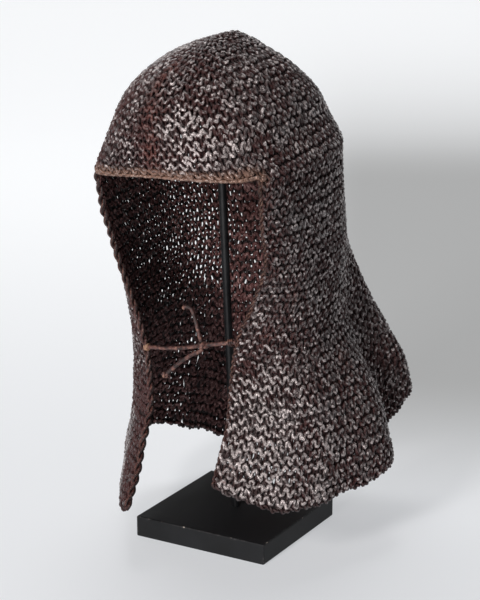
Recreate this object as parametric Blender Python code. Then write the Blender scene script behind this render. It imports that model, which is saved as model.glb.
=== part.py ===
"""Knight costume hood: a knitted cord coif with a shoulder cape, on a plate and post stand.

Metres, +Z up. The origin is the middle of the plate's underside. The hood's face looks along -Y.
"""
import math

import bmesh
import bpy
import numpy as np
from mathutils import Vector

# Stand
PLATE_SIDE = 0.150
PLATE_THICKNESS = 0.022
PLATE_EDGE_ROUND = 0.0015
POST_DIAMETER = 0.008
POST_RUN_X = -0.012  # how far the post's top stands from over its foot
POST_RUN_Y = -0.013
REST_DEPTH = 0.012  # from the rest's rim down to its flat underside

# Hood
BROW_HEIGHT = 0.390  # lower edge of the forehead above the ground
CROWN_RISE = 0.126  # from the brow up to the top of the crown
CAPE_DROP = 0.330  # from the brow down to the mean hem
HEAD_WIDTH = 0.204
HEAD_DEPTH = 0.260
FACE_WIDTH = 0.186  # between the two corners of the brow
KNIT_THICKNESS = 0.006
HOOD_LEAN = 0.040  # slope from side to side: the hood sits a little low on its -X side

# Lace that ties the front edges, knotted in the middle of the opening
LACE_DIAMETER = 0.004
KNOT_DIAMETER = 0.009
KNOT_LENGTH = 0.010
TIP_KNOT_DIAMETER = 0.0065
TIP_KNOT_LENGTH = 0.008

CLEARANCE = 0.0003

# The lace's four free stretches: two tie the front edges to the knot, two are its loose ends.
# leaves: the direction out of the knot. route: the points it passes from there on.
KNOT_CENTER = (0.0201, -0.0980, 0.2265)
KNOT_EXIT = 0.0007  # from the knot's face to the slanted end of each stretch
LACE_COLUMNS = "name leaves route".split()
LACES = (
    (
        "lace_left",
        (-0.96, 0.00, -0.26),
        (
            (0.0077, -0.0980, 0.2231),
            (-0.0066, -0.0970, 0.2195),
            (-0.0248, -0.0955, 0.2162),
            (-0.0411, -0.0935, 0.2139),
            (-0.0486, -0.0920, 0.2127),
        ),
    ),
    (
        "lace_right",
        (0.97, 0.12, 0.21),
        (
            (0.0357, -0.0960, 0.2299),
            (0.0460, -0.0945, 0.2321),
            (0.0540, -0.0933, 0.2336),
        ),
    ),
    (
        "lace_upper_end",
        (-0.52, 0.10, 0.85),
        (
            (0.0126, -0.0960, 0.2433),
            (0.0066, -0.0935, 0.2555),
            (0.0033, -0.0925, 0.2600),
            (-0.0018, -0.0922, 0.2612),
            (-0.0053, -0.0925, 0.2589),
        ),
    ),
    (
        "lace_lower_end",
        (-0.50, -0.35, -0.79),
        (
            (0.0116, -0.1010, 0.2180),
            (0.0044, -0.1020, 0.2129),
            (-0.0030, -0.1030, 0.2071),
            (-0.0111, -0.1040, 0.1995),
            (-0.0170, -0.1048, 0.1943),
        ),
    ),
)
ROUTE_STEP = 2.0  # diameters between the points of a lace's spline

# How finely the hood is divided
FACE_COLUMNS = 9  # from the middle of the brow to one corner
WALL_COLUMNS = 20  # from that corner or edge round to the middle of the back
CROWN_ROWS = 9
CAPE_ROWS = 20
REST_ROWS = 3  # rows of the crown that the hidden rest fills
TURN_ROWS = 4  # rows under the rest in which the wall's depth turns from upright to square
OUTLINE_POINTS = 361  # of half a ring, for sharing out its length
ROUTE_PARTS = 16  # of a lace's smooth course between two of its points
LACE_BEVEL_SEGMENTS = 2
POST_SIDES = 24
KNOT_SIDES = 12
KNOT_RINGS = 8
EDGE_SEGMENTS = 2
SHARP_ANGLE = math.radians(50.0)

# Rings of the crown, from the ridge along its top down to the brow.
# way: share of the way down. half_width: of the head's width. front, back: of its depth.
# front_up, side_up, back_up: height over the brow, as shares of the crown's rise.
# square: how square the front half is, 2 for a round one.
# shift: how far the ring's middle lies to +X, as a share of the head's width.
CROWN_COLUMNS = "way half_width front back front_up side_up back_up square shift".split()
CROWN_RINGS = (
    (0.00, 0.000, 0.334, 0.130, 0.888, 1.000, 0.930, 2.0, -0.036),
    (0.15, 0.095, 0.400, 0.178, 0.822, 0.950, 0.863, 2.1, -0.054),
    (0.30, 0.205, 0.459, 0.220, 0.707, 0.866, 0.780, 2.2, -0.080),
    (0.50, 0.335, 0.520, 0.290, 0.524, 0.698, 0.650, 2.4, -0.070),
    (0.70, 0.406, 0.547, 0.362, 0.310, 0.480, 0.502, 3.0, -0.040),
    (0.85, 0.442, 0.552, 0.402, 0.144, 0.282, 0.340, 4.0, -0.022),
    (1.00, 0.496, 0.516, 0.420, 0.000, 0.095, 0.150, 5.4, 0.000),
)
BACK_SQUARE = 2.2  # squareness of every ring's back half, also below the brow

# Level sections of the neck and cape. down: share of the cape's drop under the brow.
# half_gap: half the opening between the front edges, as a share of the face's width.
CAPE_COLUMNS = "down half_width front back square half_gap".split()
CAPE_SECTIONS = (
    (0.00, 0.496, 0.516, 0.420, 5.4, 0.500),
    (0.12, 0.500, 0.520, 0.446, 4.0, 0.489),
    (0.21, 0.502, 0.490, 0.475, 3.3, 0.478),
    (0.36, 0.498, 0.436, 0.506, 2.6, 0.390),
    (0.47, 0.501, 0.415, 0.508, 2.3, 0.306),
    (0.59, 0.547, 0.401, 0.512, 2.2, 0.269),
    (0.71, 0.616, 0.412, 0.562, 2.2, 0.263),
    (0.82, 0.657, 0.486, 0.578, 2.2, 0.269),
    (0.94, 0.695, 0.556, 0.606, 2.2, 0.258),
    (1.06, 0.702, 0.640, 0.596, 2.2, 0.247),
)

# Folds of the cape. side: -1 or 1 for -X or +X. way: where, from the front edge (0) round to the
# middle of the back (1). spread: half the fold's breadth on that scale. out: how far it stands out
# once full, as a share of the head's width. begins, full: shares of the way down to the hem.
FOLD_COLUMNS = "side way spread out begins full".split()
FOLDS = (
    (1, 0.00, 0.12, 0.037, 0.80, 1.00),
    (1, 0.52, 0.18, 0.096, 0.45, 1.00),
    (1, 0.63, 0.07, -0.070, 0.60, 1.00),
    (1, 0.73, 0.15, 0.262, 0.30, 0.90),
    (-1, 0.00, 0.12, 0.024, 0.86, 1.00),
    (-1, 0.22, 0.38, -0.156, 0.42, 0.95),
    (-1, 0.50, 0.20, 0.037, 0.50, 1.00),
    (-1, 0.64, 0.10, -0.040, 0.60, 1.00),
    (-1, 0.78, 0.12, 0.060, 0.40, 1.00),
)

# The hem, from the front edge (0) round to the middle of the back (1), on each side.
# up: height over the mean hem, as a share of the cape's drop.
HEM_COLUMNS = "way left_up right_up".split()
HEM = (
    (0.00, 0.003, 0.130),
    (0.05, -0.002, 0.102),
    (0.10, 0.000, 0.075),
    (0.22, 0.002, 0.040),
    (0.40, 0.036, 0.054),
    (0.52, 0.045, 0.073),
    (0.62, 0.027, 0.112),
    (0.70, -0.006, 0.213),
    (0.78, -0.055, 0.222),
    (0.88, -0.060, 0.100),
    (1.00, -0.020, -0.020),
)
HEM_LEVEL = BROW_HEIGHT - CAPE_DROP


def column(rows, columns, name):
    """One named column of a table."""
    return np.array([row[columns.index(name)] for row in rows])


def smooth(xs, ys, at):
    """Value at `at` of a smooth curve through the points, which never overshoots them."""
    slopes = np.diff(ys) / np.diff(xs)
    tangents = np.empty(len(ys))
    tangents[0], tangents[-1] = slopes[0], slopes[-1]
    before, after = slopes[:-1], slopes[1:]
    same_way = before * after > 0
    total = np.where(same_way, before + after, 1.0)
    tangents[1:-1] = np.where(same_way, 2.0 * before * after / total, 0.0)
    at = min(max(at, xs[0]), xs[-1])
    cell = min(int(np.searchsorted(xs, at, side="right")) - 1, len(xs) - 2)
    width = xs[cell + 1] - xs[cell]
    t = (at - xs[cell]) / width
    rise = ys[cell + 1] - ys[cell]
    bend = tangents[cell : cell + 2] * width
    curve = bend[0] + t * (3.0 * rise - 2.0 * bend[0] - bend[1] + t * (bend[0] + bend[1] - 2.0 * rise))
    return ys[cell] + t * curve


def section(rows, columns, at):
    """The table's columns, by name, at one place along its first column."""
    places = column(rows, columns, columns[0])
    return {name: smooth(places, column(rows, columns, name), at) for name in columns[1:]}


def outline(ring):
    """Half of a ring seen from above, +X side, from the middle of its front to that of its back."""
    turn = np.linspace(0.0, math.pi, OUTLINE_POINTS)
    square = np.where(turn < math.pi / 2, ring["square"], BACK_SQUARE)
    reach = np.where(turn < math.pi / 2, ring["front"], ring["back"]) * HEAD_DEPTH
    across = np.abs(np.sin(turn)) ** (2.0 / square) * ring["half_width"] * HEAD_WIDTH
    along = -np.sign(np.cos(turn)) * np.abs(np.cos(turn)) ** (2.0 / square) * reach
    return np.column_stack((across, along))


def lengths(line):
    """Distance along a line of points from its start to each point."""
    steps = np.linalg.norm(np.diff(line, axis=0), axis=1)
    return np.concatenate(([0.0], np.cumsum(steps)))


def point_at(line, share):
    """The point at a share of a line's length."""
    run = lengths(line)
    return np.array([np.interp(share * run[-1], run, line[:, axis]) for axis in (0, 1)])


def edge_share(line, across):
    """The share of a half outline's length at which it is `across` from the middle, in front."""
    run = lengths(line)
    widest = int(np.argmax(line[:, 0]))
    return float(np.interp(across, line[: widest + 1, 0], run[: widest + 1])) / run[-1]


def ring_height(ring, point):
    """Height over the brow of a crown ring at a point of its outline."""
    reach = ring["front"] if point[1] < 0.0 else ring["back"]
    ahead = -point[1] / (reach * HEAD_DEPTH)
    level = ring["side_up"]
    tilt = (ring["front_up"] - ring["back_up"]) / 2.0
    arch = (ring["front_up"] + ring["back_up"]) / 2.0 - level
    return CROWN_RISE * (level + tilt * ahead + arch * ahead * ahead)


BROW = section(CROWN_RINGS, CROWN_COLUMNS, 1.0)
CORNER_SHARE = edge_share(outline(BROW), FACE_WIDTH / 2.0)


def crown_point(side, share, way):
    """A point of the crown: `share` of the half ring round from the front, `way` down to the brow."""
    ring = section(CROWN_RINGS, CROWN_COLUMNS, way)
    x, y = point_at(outline(ring), share)
    across = side * x + ring["shift"] * HEAD_WIDTH
    return Vector((across, y, BROW_HEIGHT + ring_height(ring, (x, y)) + HOOD_LEAN * across))


def fold_out(side, way, down):
    """How far the cape's folds stand out at a place, as a length."""
    out = 0.0
    for row in FOLDS:
        fold = dict(zip(FOLD_COLUMNS, row))
        # The middle of the back is reached from both sides.
        gap = abs(way - fold["way"]) if side == fold["side"] else 2.0 - way - fold["way"]
        if gap < fold["spread"]:
            grown = (down - fold["begins"]) / (fold["full"] - fold["begins"])
            grown = min(max(grown, 0.0), 1.0)
            ease = grown * grown * (3.0 - 2.0 * grown)
            out += fold["out"] * ease * (0.5 + 0.5 * math.cos(math.pi * gap / fold["spread"]))
    return out * HEAD_WIDTH


def cape_point(side, way, down):
    """A point of the neck or cape: `way` round from the front edge, `down` from the brow ring to the hem."""
    top = crown_point(side, CORNER_SHARE + way * (1.0 - CORNER_SHARE), 1.0)
    hem_up = column(HEM, HEM_COLUMNS, "right_up" if side > 0 else "left_up")
    hem = HEM_LEVEL + CAPE_DROP * smooth(column(HEM, HEM_COLUMNS, "way"), hem_up, way)
    z = top.z + (hem - top.z) * down
    cut = section(CAPE_SECTIONS, CAPE_COLUMNS, (BROW_HEIGHT - z) / CAPE_DROP)
    line = outline(cut)
    edge = edge_share(line, cut["half_gap"] * FACE_WIDTH)
    x, y = point_at(line, edge + way * (1.0 - edge))
    outward = Vector((side * x, y, 0.0)).normalized()
    return Vector((side * x, y, z)) + outward * fold_out(side, way, down)


HALF_COLUMNS = FACE_COLUMNS + WALL_COLUMNS


def grid_point(row, col):
    """A point of the hood's outside. Row 0 is the crown's ridge; columns count from the middle of the
    front, negative on the -X side."""
    side = 1 if col >= 0 else -1
    way = (abs(col) - FACE_COLUMNS) / WALL_COLUMNS
    if row > CROWN_ROWS:
        return cape_point(side, way, (row - CROWN_ROWS) / CAPE_ROWS)
    if way < 0.0:
        share = CORNER_SHARE * abs(col) / FACE_COLUMNS
    else:
        share = CORNER_SHARE + way * (1.0 - CORNER_SHARE)
    return crown_point(side, share, row / CROWN_ROWS)


def grid_key(row, col):
    """The same key for places that are one point: the back's middle, and both sides of the ridge."""
    if row == 0 or abs(col) == HALF_COLUMNS:
        return row, abs(col)
    return row, col


def hood_faces(last_row):
    """The outside's triangles from the ridge down to a row, as keys, turned outwards."""
    faces = []
    for row in range(last_row):
        for col in range(-HALF_COLUMNS, HALF_COLUMNS):
            in_face = -FACE_COLUMNS <= col < FACE_COLUMNS
            if row >= CROWN_ROWS and in_face:
                continue
            top, low = grid_key(row, col), grid_key(row + 1, col)
            next_top, next_low = grid_key(row, col + 1), grid_key(row + 1, col + 1)
            # Diagonals fan out from the nearer end of the ridge, so no triangle lies along it.
            in_front = abs(col + 0.5) < HALF_COLUMNS / 2
            if in_front == (col >= 0):
                faces.append((top, low, next_low))
                faces.append((top, next_low, next_top))
            else:
                faces.append((top, low, next_top))
                faces.append((low, next_low, next_top))
    return faces


def new_object(name, data, finish):
    """An object for a finished mesh or curve, in its own material."""
    data.materials.append(finish)
    obj = bpy.data.objects.new(name, data)
    bpy.context.scene.collection.objects.link(obj)
    return obj


def principled(name, color, roughness, metallic):
    """A plain material of one colour."""
    finish = bpy.data.materials.new(name)
    finish.use_nodes = True
    shader = finish.node_tree.nodes["Principled BSDF"]
    shader.inputs["Base Color"].default_value = (*color, 1.0)
    shader.inputs["Roughness"].default_value = roughness
    shader.inputs["Metallic"].default_value = metallic
    return finish


def mesh_from(name, points, faces):
    """A mesh from points and faces."""
    mesh = bpy.data.meshes.new(name)
    mesh.from_pydata([tuple(point) for point in points], [], faces)
    mesh.update()
    return mesh


def inward(row, normal):
    """From the outside to a layer one unit deep: upright by the ridge, along the normal lower down."""
    turned = min(max((row - REST_ROWS) / TURN_ROWS, 0.0), 1.0)
    way = Vector((0.0, 0.0, 1.0)).lerp(normal, turned)
    return -way / way.dot(normal)


def outside():
    """The hood's outer face: each grid point and its normal, by key."""
    faces = hood_faces(CROWN_ROWS + CAPE_ROWS)
    keys = list(dict.fromkeys(key for face in faces for key in face))
    places = {key: index for index, key in enumerate(keys)}
    mesh = mesh_from(
        "outside",
        [grid_point(*key) for key in keys],
        [[places[key] for key in face] for face in faces],
    )
    surface = {key: (vertex.co.copy(), vertex.normal.copy()) for key, vertex in zip(keys, mesh.vertices)}
    bpy.data.meshes.remove(mesh)
    return surface


def layer(surface, last_row, depth):
    """The grid's points down to a row, by key, `depth` inside the outer face."""
    return {
        key: point + inward(key[0], normal) * depth
        for key, (point, normal) in surface.items()
        if key[0] <= last_row
    }


def open_edges(faces):
    """The directed edges that only one face has."""
    edges = {}
    for face in faces:
        for start, end in zip(face, face[1:] + face[:1]):
            edges[(start, end)] = True
    return [edge for edge in edges if (edge[1], edge[0]) not in edges]


def make_hood(surface, finish):
    """The knitted hood: one wall, open below and at the face."""
    last_row = CROWN_ROWS + CAPE_ROWS
    index = {}
    points = []
    for name, depth in (("outer", 0.0), ("inner", KNIT_THICKNESS)):
        for key, point in layer(surface, last_row, depth).items():
            index[name, key] = len(points)
            points.append(point)
    faces = []
    outer_faces = hood_faces(last_row)
    for face in outer_faces:
        faces.append([index["outer", key] for key in face])
        faces.append([index["inner", key] for key in reversed(face)])
    for start, end in open_edges(outer_faces):
        rim = (("outer", end), ("outer", start), ("inner", start), ("inner", end))
        faces.append([index[corner] for corner in rim])
    mesh = mesh_from("hood", points, faces)
    mesh.shade_smooth()
    mesh.set_sharp_from_angle(angle=SHARP_ANGLE)
    return new_object("hood", mesh, finish)


def rest_top(surface):
    """The points of the rest's domed top, just under the knit."""
    return layer(surface, REST_ROWS, KNIT_THICKNESS + CLEARANCE)


def rest_underside(top):
    """Height of the rest's flat underside."""
    return min(point.z for point in top.values()) - REST_DEPTH


def make_rest(surface, finish):
    """The hidden block that carries the crown: domed to the hood's inside, flat below."""
    top = rest_top(surface)
    domed = hood_faces(REST_ROWS)
    rim = open_edges(domed)
    underside = rest_underside(top)
    index = {key: place for place, key in enumerate(top)}
    points = list(top.values())
    faces = [[index[key] for key in face] for face in domed]
    low = {}
    for start, _ in rim:
        low[start] = len(points)
        points.append(Vector((top[start].x, top[start].y, underside)))
    for start, end in rim:
        faces.append([index[end], index[start], low[start], low[end]])
    after = dict(rim)
    loop = [rim[0][0]]
    while after[loop[-1]] != loop[0]:
        loop.append(after[loop[-1]])
    faces.append([low[key] for key in reversed(loop)])
    mesh = mesh_from("crown_rest", points, faces)
    mesh.shade_smooth()
    mesh.set_sharp_from_angle(angle=SHARP_ANGLE)
    return new_object("crown_rest", mesh, finish)


def make_post(surface, finish):
    """The leaning round post, cut level at both ends."""
    bottom = PLATE_THICKNESS + CLEARANCE
    top = rest_underside(rest_top(surface)) - CLEARANCE
    mesh = bpy.data.meshes.new("stand_post")
    bm = bmesh.new()
    bmesh.ops.create_cone(
        bm,
        cap_ends=True,
        segments=POST_SIDES,
        radius1=POST_DIAMETER / 2.0,
        radius2=POST_DIAMETER / 2.0,
        depth=top - bottom,
    )
    for vertex in bm.verts:
        upper = vertex.co.z > 0.0
        vertex.co.x += POST_RUN_X if upper else 0.0
        vertex.co.y += POST_RUN_Y if upper else 0.0
        vertex.co.z = top if upper else bottom
    bm.to_mesh(mesh)
    bm.free()
    mesh.shade_smooth()
    mesh.set_sharp_from_angle(angle=SHARP_ANGLE)
    return new_object("stand_post", mesh, finish)


def follow(route, step):
    """Points about `step` apart on a smooth curve through a route's own points."""
    route = [Vector(point) for point in route]
    padded = [route[0] * 2.0 - route[1], *route, route[-1] * 2.0 - route[-2]]
    dense = [route[0]]
    for before, start, end, after in zip(padded, padded[1:], padded[2:], padded[3:]):
        for part in range(1, ROUTE_PARTS + 1):
            t = part / ROUTE_PARTS
            dense.append(
                start
                + (end - before) * (0.5 * t)
                + (before * 2.0 - start * 5.0 + end * 4.0 - after) * (0.5 * t * t)
                + (start * 3.0 - before - end * 3.0 + after) * (0.5 * t * t * t)
            )
    line = np.array([tuple(point) for point in dense])
    run = lengths(line)
    places = np.linspace(0.0, run[-1], max(3, round(run[-1] / step) + 1))
    return [[np.interp(place, run, line[:, axis]) for axis in range(3)] for place in places]


def make_lace(name, route, finish):
    """One free stretch of the lace, as a round tube."""
    curve = bpy.data.curves.new(name, "CURVE")
    curve.dimensions = "3D"
    curve.bevel_depth = LACE_DIAMETER / 2.0
    curve.bevel_resolution = LACE_BEVEL_SEGMENTS
    curve.use_fill_caps = True
    points = follow(route, ROUTE_STEP * LACE_DIAMETER)
    spline = curve.splines.new("POLY")
    spline.points.add(len(points) - 1)
    for target, point in zip(spline.points, points):
        target.co = (*point, 1.0)
    return new_object(name, curve, finish)


def make_knot(name, center, length, diameter, along, finish):
    """A plain rounded knot, longer along the lace."""
    mesh = bpy.data.meshes.new(name)
    bm = bmesh.new()
    bmesh.ops.create_uvsphere(bm, u_segments=KNOT_SIDES, v_segments=KNOT_RINGS, radius=0.5)
    turn = Vector((0.0, 0.0, 1.0)).rotation_difference(Vector(along))
    for vertex in bm.verts:
        shaped = Vector((vertex.co.x * diameter, vertex.co.y * diameter, vertex.co.z * length))
        vertex.co = Vector(center) + turn @ shaped
    bm.to_mesh(mesh)
    bm.free()
    mesh.shade_smooth()
    return new_object(name, mesh, finish)


def knot_reach(direction, along):
    """From the knot's middle to its face, in a direction."""
    lengthwise = direction.dot(along)
    crosswise = math.sqrt(max(1.0 - lengthwise**2, 0.0))
    return 0.5 / math.hypot(lengthwise / KNOT_LENGTH, crosswise / KNOT_DIAMETER)


def make_tie(finish):
    """The knotted lace across the opening."""
    laces = {row[0]: dict(zip(LACE_COLUMNS, row)) for row in LACES}
    leaves = {name: Vector(lace["leaves"]).normalized() for name, lace in laces.items()}
    along = (leaves["lace_right"] - leaves["lace_left"]).normalized()
    for name, lace in laces.items():
        reach = knot_reach(leaves[name], along) + KNOT_EXIT
        start = Vector(KNOT_CENTER) + leaves[name] * reach
        make_lace(name, (start, *lace["route"]), finish)
    make_knot("tie_knot", KNOT_CENTER, KNOT_LENGTH, KNOT_DIAMETER, along, finish)
    before, end = [Vector(point) for point in laces["lace_lower_end"]["route"][-2:]]
    outward = (end - before).normalized()
    tip_center = end + outward * (TIP_KNOT_LENGTH / 2.0 + CLEARANCE)
    make_knot("tip_knot", tip_center, TIP_KNOT_LENGTH, TIP_KNOT_DIAMETER, outward, finish)


def make_plate(finish):
    """The square plate, with its edges a little rounded."""
    mesh = bpy.data.meshes.new("stand_plate")
    bm = bmesh.new()
    bmesh.ops.create_cube(bm, size=1.0)
    for vertex in bm.verts:
        vertex.co.x *= PLATE_SIDE
        vertex.co.y *= PLATE_SIDE
        vertex.co.z = PLATE_THICKNESS if vertex.co.z > 0.0 else 0.0
    bmesh.ops.bevel(
        bm,
        geom=bm.edges[:],
        offset=PLATE_EDGE_ROUND,
        segments=EDGE_SEGMENTS,
        profile=0.5,
        affect="EDGES",
    )
    bm.to_mesh(mesh)
    bm.free()
    mesh.shade_smooth()
    mesh.set_sharp_from_angle(angle=SHARP_ANGLE)
    return new_object("stand_plate", mesh, finish)


def main():
    """Builds the whole object."""
    for obj in list(bpy.data.objects):
        bpy.data.objects.remove(obj)
    surface = outside()
    make_hood(surface, principled("painted_cord_knit", (0.062, 0.045, 0.043), 0.55, 0.3))
    make_rest(surface, principled("black_block", (0.012, 0.012, 0.013), 0.7, 0.0))
    make_post(surface, principled("black_steel", (0.012, 0.012, 0.013), 0.45, 0.0))
    make_plate(principled("black_plate", (0.012, 0.012, 0.013), 0.55, 0.0))
    make_tie(principled("brown_lace", (0.115, 0.048, 0.035), 0.6, 0.0))


main()
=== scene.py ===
"""Knight costume hood on a display stand: its knitted cord, tied lace and finishes.

Everything is in metres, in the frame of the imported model. The origin is the middle of the plate's
underside, +Z is up and the hood's face looks along -Y.
"""
from __future__ import annotations

import logging
import math
from dataclasses import dataclass, field
from enum import Enum
from typing import Any, Sequence

import bpy
import numpy as np
from mathutils import Matrix, Vector


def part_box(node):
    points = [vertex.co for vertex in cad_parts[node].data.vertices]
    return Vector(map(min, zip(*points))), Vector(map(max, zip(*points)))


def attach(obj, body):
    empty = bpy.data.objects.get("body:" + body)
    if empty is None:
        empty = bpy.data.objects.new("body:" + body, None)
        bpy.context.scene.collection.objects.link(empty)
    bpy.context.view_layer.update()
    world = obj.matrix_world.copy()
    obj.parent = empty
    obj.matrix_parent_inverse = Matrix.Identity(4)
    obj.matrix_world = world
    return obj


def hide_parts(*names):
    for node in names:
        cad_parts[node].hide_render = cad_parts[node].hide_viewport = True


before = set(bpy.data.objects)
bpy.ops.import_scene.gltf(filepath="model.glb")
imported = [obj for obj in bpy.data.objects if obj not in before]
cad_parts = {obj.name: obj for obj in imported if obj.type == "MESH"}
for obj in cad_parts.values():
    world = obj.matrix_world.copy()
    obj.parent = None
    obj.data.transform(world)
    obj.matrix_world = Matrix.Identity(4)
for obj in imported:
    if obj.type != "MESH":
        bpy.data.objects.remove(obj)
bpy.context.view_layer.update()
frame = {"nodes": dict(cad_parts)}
BODY = "root"
MM = 0.001
LOG = logging.getLogger("knight_hood")

Colour = tuple[float, float, float]
Point = tuple[float, float, float]
Patch = tuple[Point, float]  # a round place on the hood: its middle and its radius


class Piece(Enum):
    KNIT = "painted_cord_knit"
    LACE = "brown_lace"


def new_object(name: str, data: bpy.types.ID) -> bpy.types.Object:
    """An object for some data, linked to the scene.

    Args:
        name: The object's name.
        data: Its mesh, curve, camera or light.

    Returns:
        The object.
    """
    made = bpy.data.objects.new(name, data)
    bpy.context.scene.collection.objects.link(made)
    return made


# Node trees


class Value:
    """A node's output socket that can be used in Python arithmetic."""

    def __init__(self, graph: "Graph", socket: bpy.types.NodeSocket) -> None:
        """Wraps a socket.

        Args:
            graph: The tree that the socket belongs to.
            socket: The output socket.
        """
        self.graph = graph
        self.socket = socket

    def math(self, operation: str, *others: Any) -> "Value":
        """Adds a Math node that starts from this value.

        Args:
            operation: The Math node's operation.
            others: The further values, numbers or sockets.

        Returns:
            The node's result.
        """
        return self.graph.math(operation, self, *others)

    def __add__(self, other: Any) -> "Value":
        """The sum."""
        return self.math("ADD", other)

    def __radd__(self, other: Any) -> "Value":
        """The sum, with this value on the right."""
        return self.math("ADD", other)

    def __sub__(self, other: Any) -> "Value":
        """The difference."""
        return self.math("SUBTRACT", other)

    def __rsub__(self, other: Any) -> "Value":
        """The difference, with this value on the right."""
        return self.graph.math("SUBTRACT", other, self)

    def __mul__(self, other: Any) -> "Value":
        """The product."""
        return self.math("MULTIPLY", other)

    def __truediv__(self, other: Any) -> "Value":
        """The quotient."""
        return self.math("DIVIDE", other)

    def swing(self, weight: float) -> "Value":
        """How far this value lies from 0.5, times a weight."""
        return (self - 0.5) * weight

    def step(self, low: float, high: float) -> "Value":
        """A smooth step of this value.

        Args:
            low: Where the step begins, at 0.
            high: Where it ends, at 1. It may be the smaller of the two.

        Returns:
            A value from 0 to 1.
        """
        if low > high:
            return 1.0 - self.step(high, low)
        node = self.graph.add(
            "ShaderNodeMapRange",
            {"interpolation_type": "SMOOTHSTEP"},
            {"Value": self, "From Min": low, "From Max": high},
        )
        return self.graph.out(node, "Result")


class Graph:
    """A node tree that is written as Python."""

    def __init__(self, tree: bpy.types.NodeTree) -> None:
        """Holds a tree.

        Args:
            tree: The tree to add nodes to.
        """
        self.tree = tree

    def add(
        self, kind: str, settings: dict[str, Any] | None = None, values: dict[Any, Any] | None = None
    ) -> bpy.types.Node:
        """Adds a node.

        Args:
            kind: The node's type.
            settings: Its properties, which are set first.
            values: Values or links of its input sockets, by name or index.

        Returns:
            The node.
        """
        node = self.tree.nodes.new(kind)
        for name, value in (settings or {}).items():
            setattr(node, name, value)
        for key, value in (values or {}).items():
            self.feed(node.inputs[key], value)
        return node

    def feed(self, socket: bpy.types.NodeSocket, value: Any) -> None:
        """Links or sets an input socket.

        Args:
            socket: The input.
            value: A Value, an output socket, or a plain value.
        """
        if isinstance(value, Value):
            value = value.socket
        if isinstance(value, bpy.types.NodeSocket):
            self.tree.links.new(value, socket)
        elif isinstance(value, tuple) and len(value) == 3 and socket.type == "RGBA":
            socket.default_value = (*value, 1.0)
        else:
            socket.default_value = value

    def out(self, node: bpy.types.Node, key: Any = 0) -> Value:
        """One output of a node, as a Value."""
        return Value(self, node.outputs[key])

    def math(self, operation: str, *values: Any) -> Value:
        """Adds a Math node.

        Args:
            operation: Its operation.
            values: Its inputs in order.

        Returns:
            The result.
        """
        node = self.add("ShaderNodeMath", {"operation": operation}, dict(enumerate(values)))
        return self.out(node)

    def vector_math(self, operation: str, *values: Any, output: str = "Vector") -> Value:
        """Adds a Vector Math node.

        Args:
            operation: Its operation.
            values: Its inputs in order.
            output: The output to give back.

        Returns:
            The result.
        """
        node = self.add("ShaderNodeVectorMath", {"operation": operation}, dict(enumerate(values)))
        return self.out(node, output)

    def scaled(self, vector: Any, factor: Any) -> Value:
        """A vector times a number."""
        node = self.add("ShaderNodeVectorMath", {"operation": "SCALE"}, {0: vector, "Scale": factor})
        return self.out(node, "Vector")


class Shader(Graph):
    """A material's node tree around one Principled BSDF."""

    FRAY = 1.4  # how far noise moves the edge of a round patch, as a share of its radius

    def __init__(self, name: str) -> None:
        """Makes an empty material.

        Args:
            name: The material's name.
        """
        self.material = bpy.data.materials.new(name)
        self.material.use_nodes = True
        super().__init__(self.material.node_tree)
        self.bsdf = self.tree.nodes["Principled BSDF"]
        self.place = self.out(self.add("ShaderNodeTexCoord"), "Object")

    def attribute(self, name: str) -> Value:
        """A float attribute of the mesh."""
        return self.out(self.add("ShaderNodeAttribute", {"attribute_name": name}), "Fac")

    def axes(self) -> list[Value]:
        """The object's own x, y and z."""
        split = self.add("ShaderNodeSeparateXYZ", values={"Vector": self.place})
        return [self.out(split, axis) for axis in "XYZ"]

    def noise(
        self, size: float, detail: float = 2.0, roughness: float = 0.5, offset: float = 0.0
    ) -> Value:
        """Noise in the object's own coordinates.

        Args:
            size: The size of its features in metres.
            detail: The noise's octaves.
            roughness: How strong the fine octaves are.
            offset: Moves the pattern, so that two of one size differ.

        Returns:
            A value around 0.5.
        """
        where = self.vector_math("ADD", self.place, (offset, offset * 0.7, -offset))
        node = self.add(
            "ShaderNodeTexNoise",
            values={"Vector": where, "Scale": 1.0 / size, "Detail": detail, "Roughness": roughness},
        )
        return self.out(node, "Fac")

    def mix(self, share: Any, first: Any, second: Any) -> Value:
        """Mixes two colours.

        Args:
            share: The share of the second.
            first: The first colour.
            second: The second colour.

        Returns:
            The mixed colour.
        """
        node = self.add("ShaderNodeMix", {"data_type": "RGBA"}, {"Factor": share})
        colours = [socket for socket in node.inputs if socket.type == "RGBA"]
        self.feed(colours[0], first)
        self.feed(colours[1], second)
        return self.out(node, 2)

    def near(self, centre: Point, radius: float, soft: Value) -> Value:
        """A round patch with a ragged edge.

        Args:
            centre: Its middle.
            radius: Where it has faded out.
            soft: A value around 0.5 that frays the edge.

        Returns:
            1 in the middle, 0 outside.
        """
        distance = self.vector_math("DISTANCE", self.place, centre, output="Value")
        return (distance / radius + soft.swing(self.FRAY)).step(1.0, 0.35)

    def bump(self, height: Any, strength: float, distance: float) -> Value:
        """A bump for the Normal input.

        Args:
            height: The height value.
            strength: The bump's strength.
            distance: The real height that 1 stands for, in metres.

        Returns:
            The bent normal.
        """
        values = {"Strength": strength, "Distance": distance, "Height": height}
        node = self.add("ShaderNodeBump", values=values)
        return self.out(node, "Normal")

    def finish(self, **sockets: Any) -> bpy.types.Material:
        """Feeds the shader's inputs.

        Args:
            sockets: Values by socket name, with underscores for spaces.

        Returns:
            The material.
        """
        for name, value in sockets.items():
            self.feed(self.bsdf.inputs[name.replace("_", " ")], value)
        return self.material


# Finishes


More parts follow.
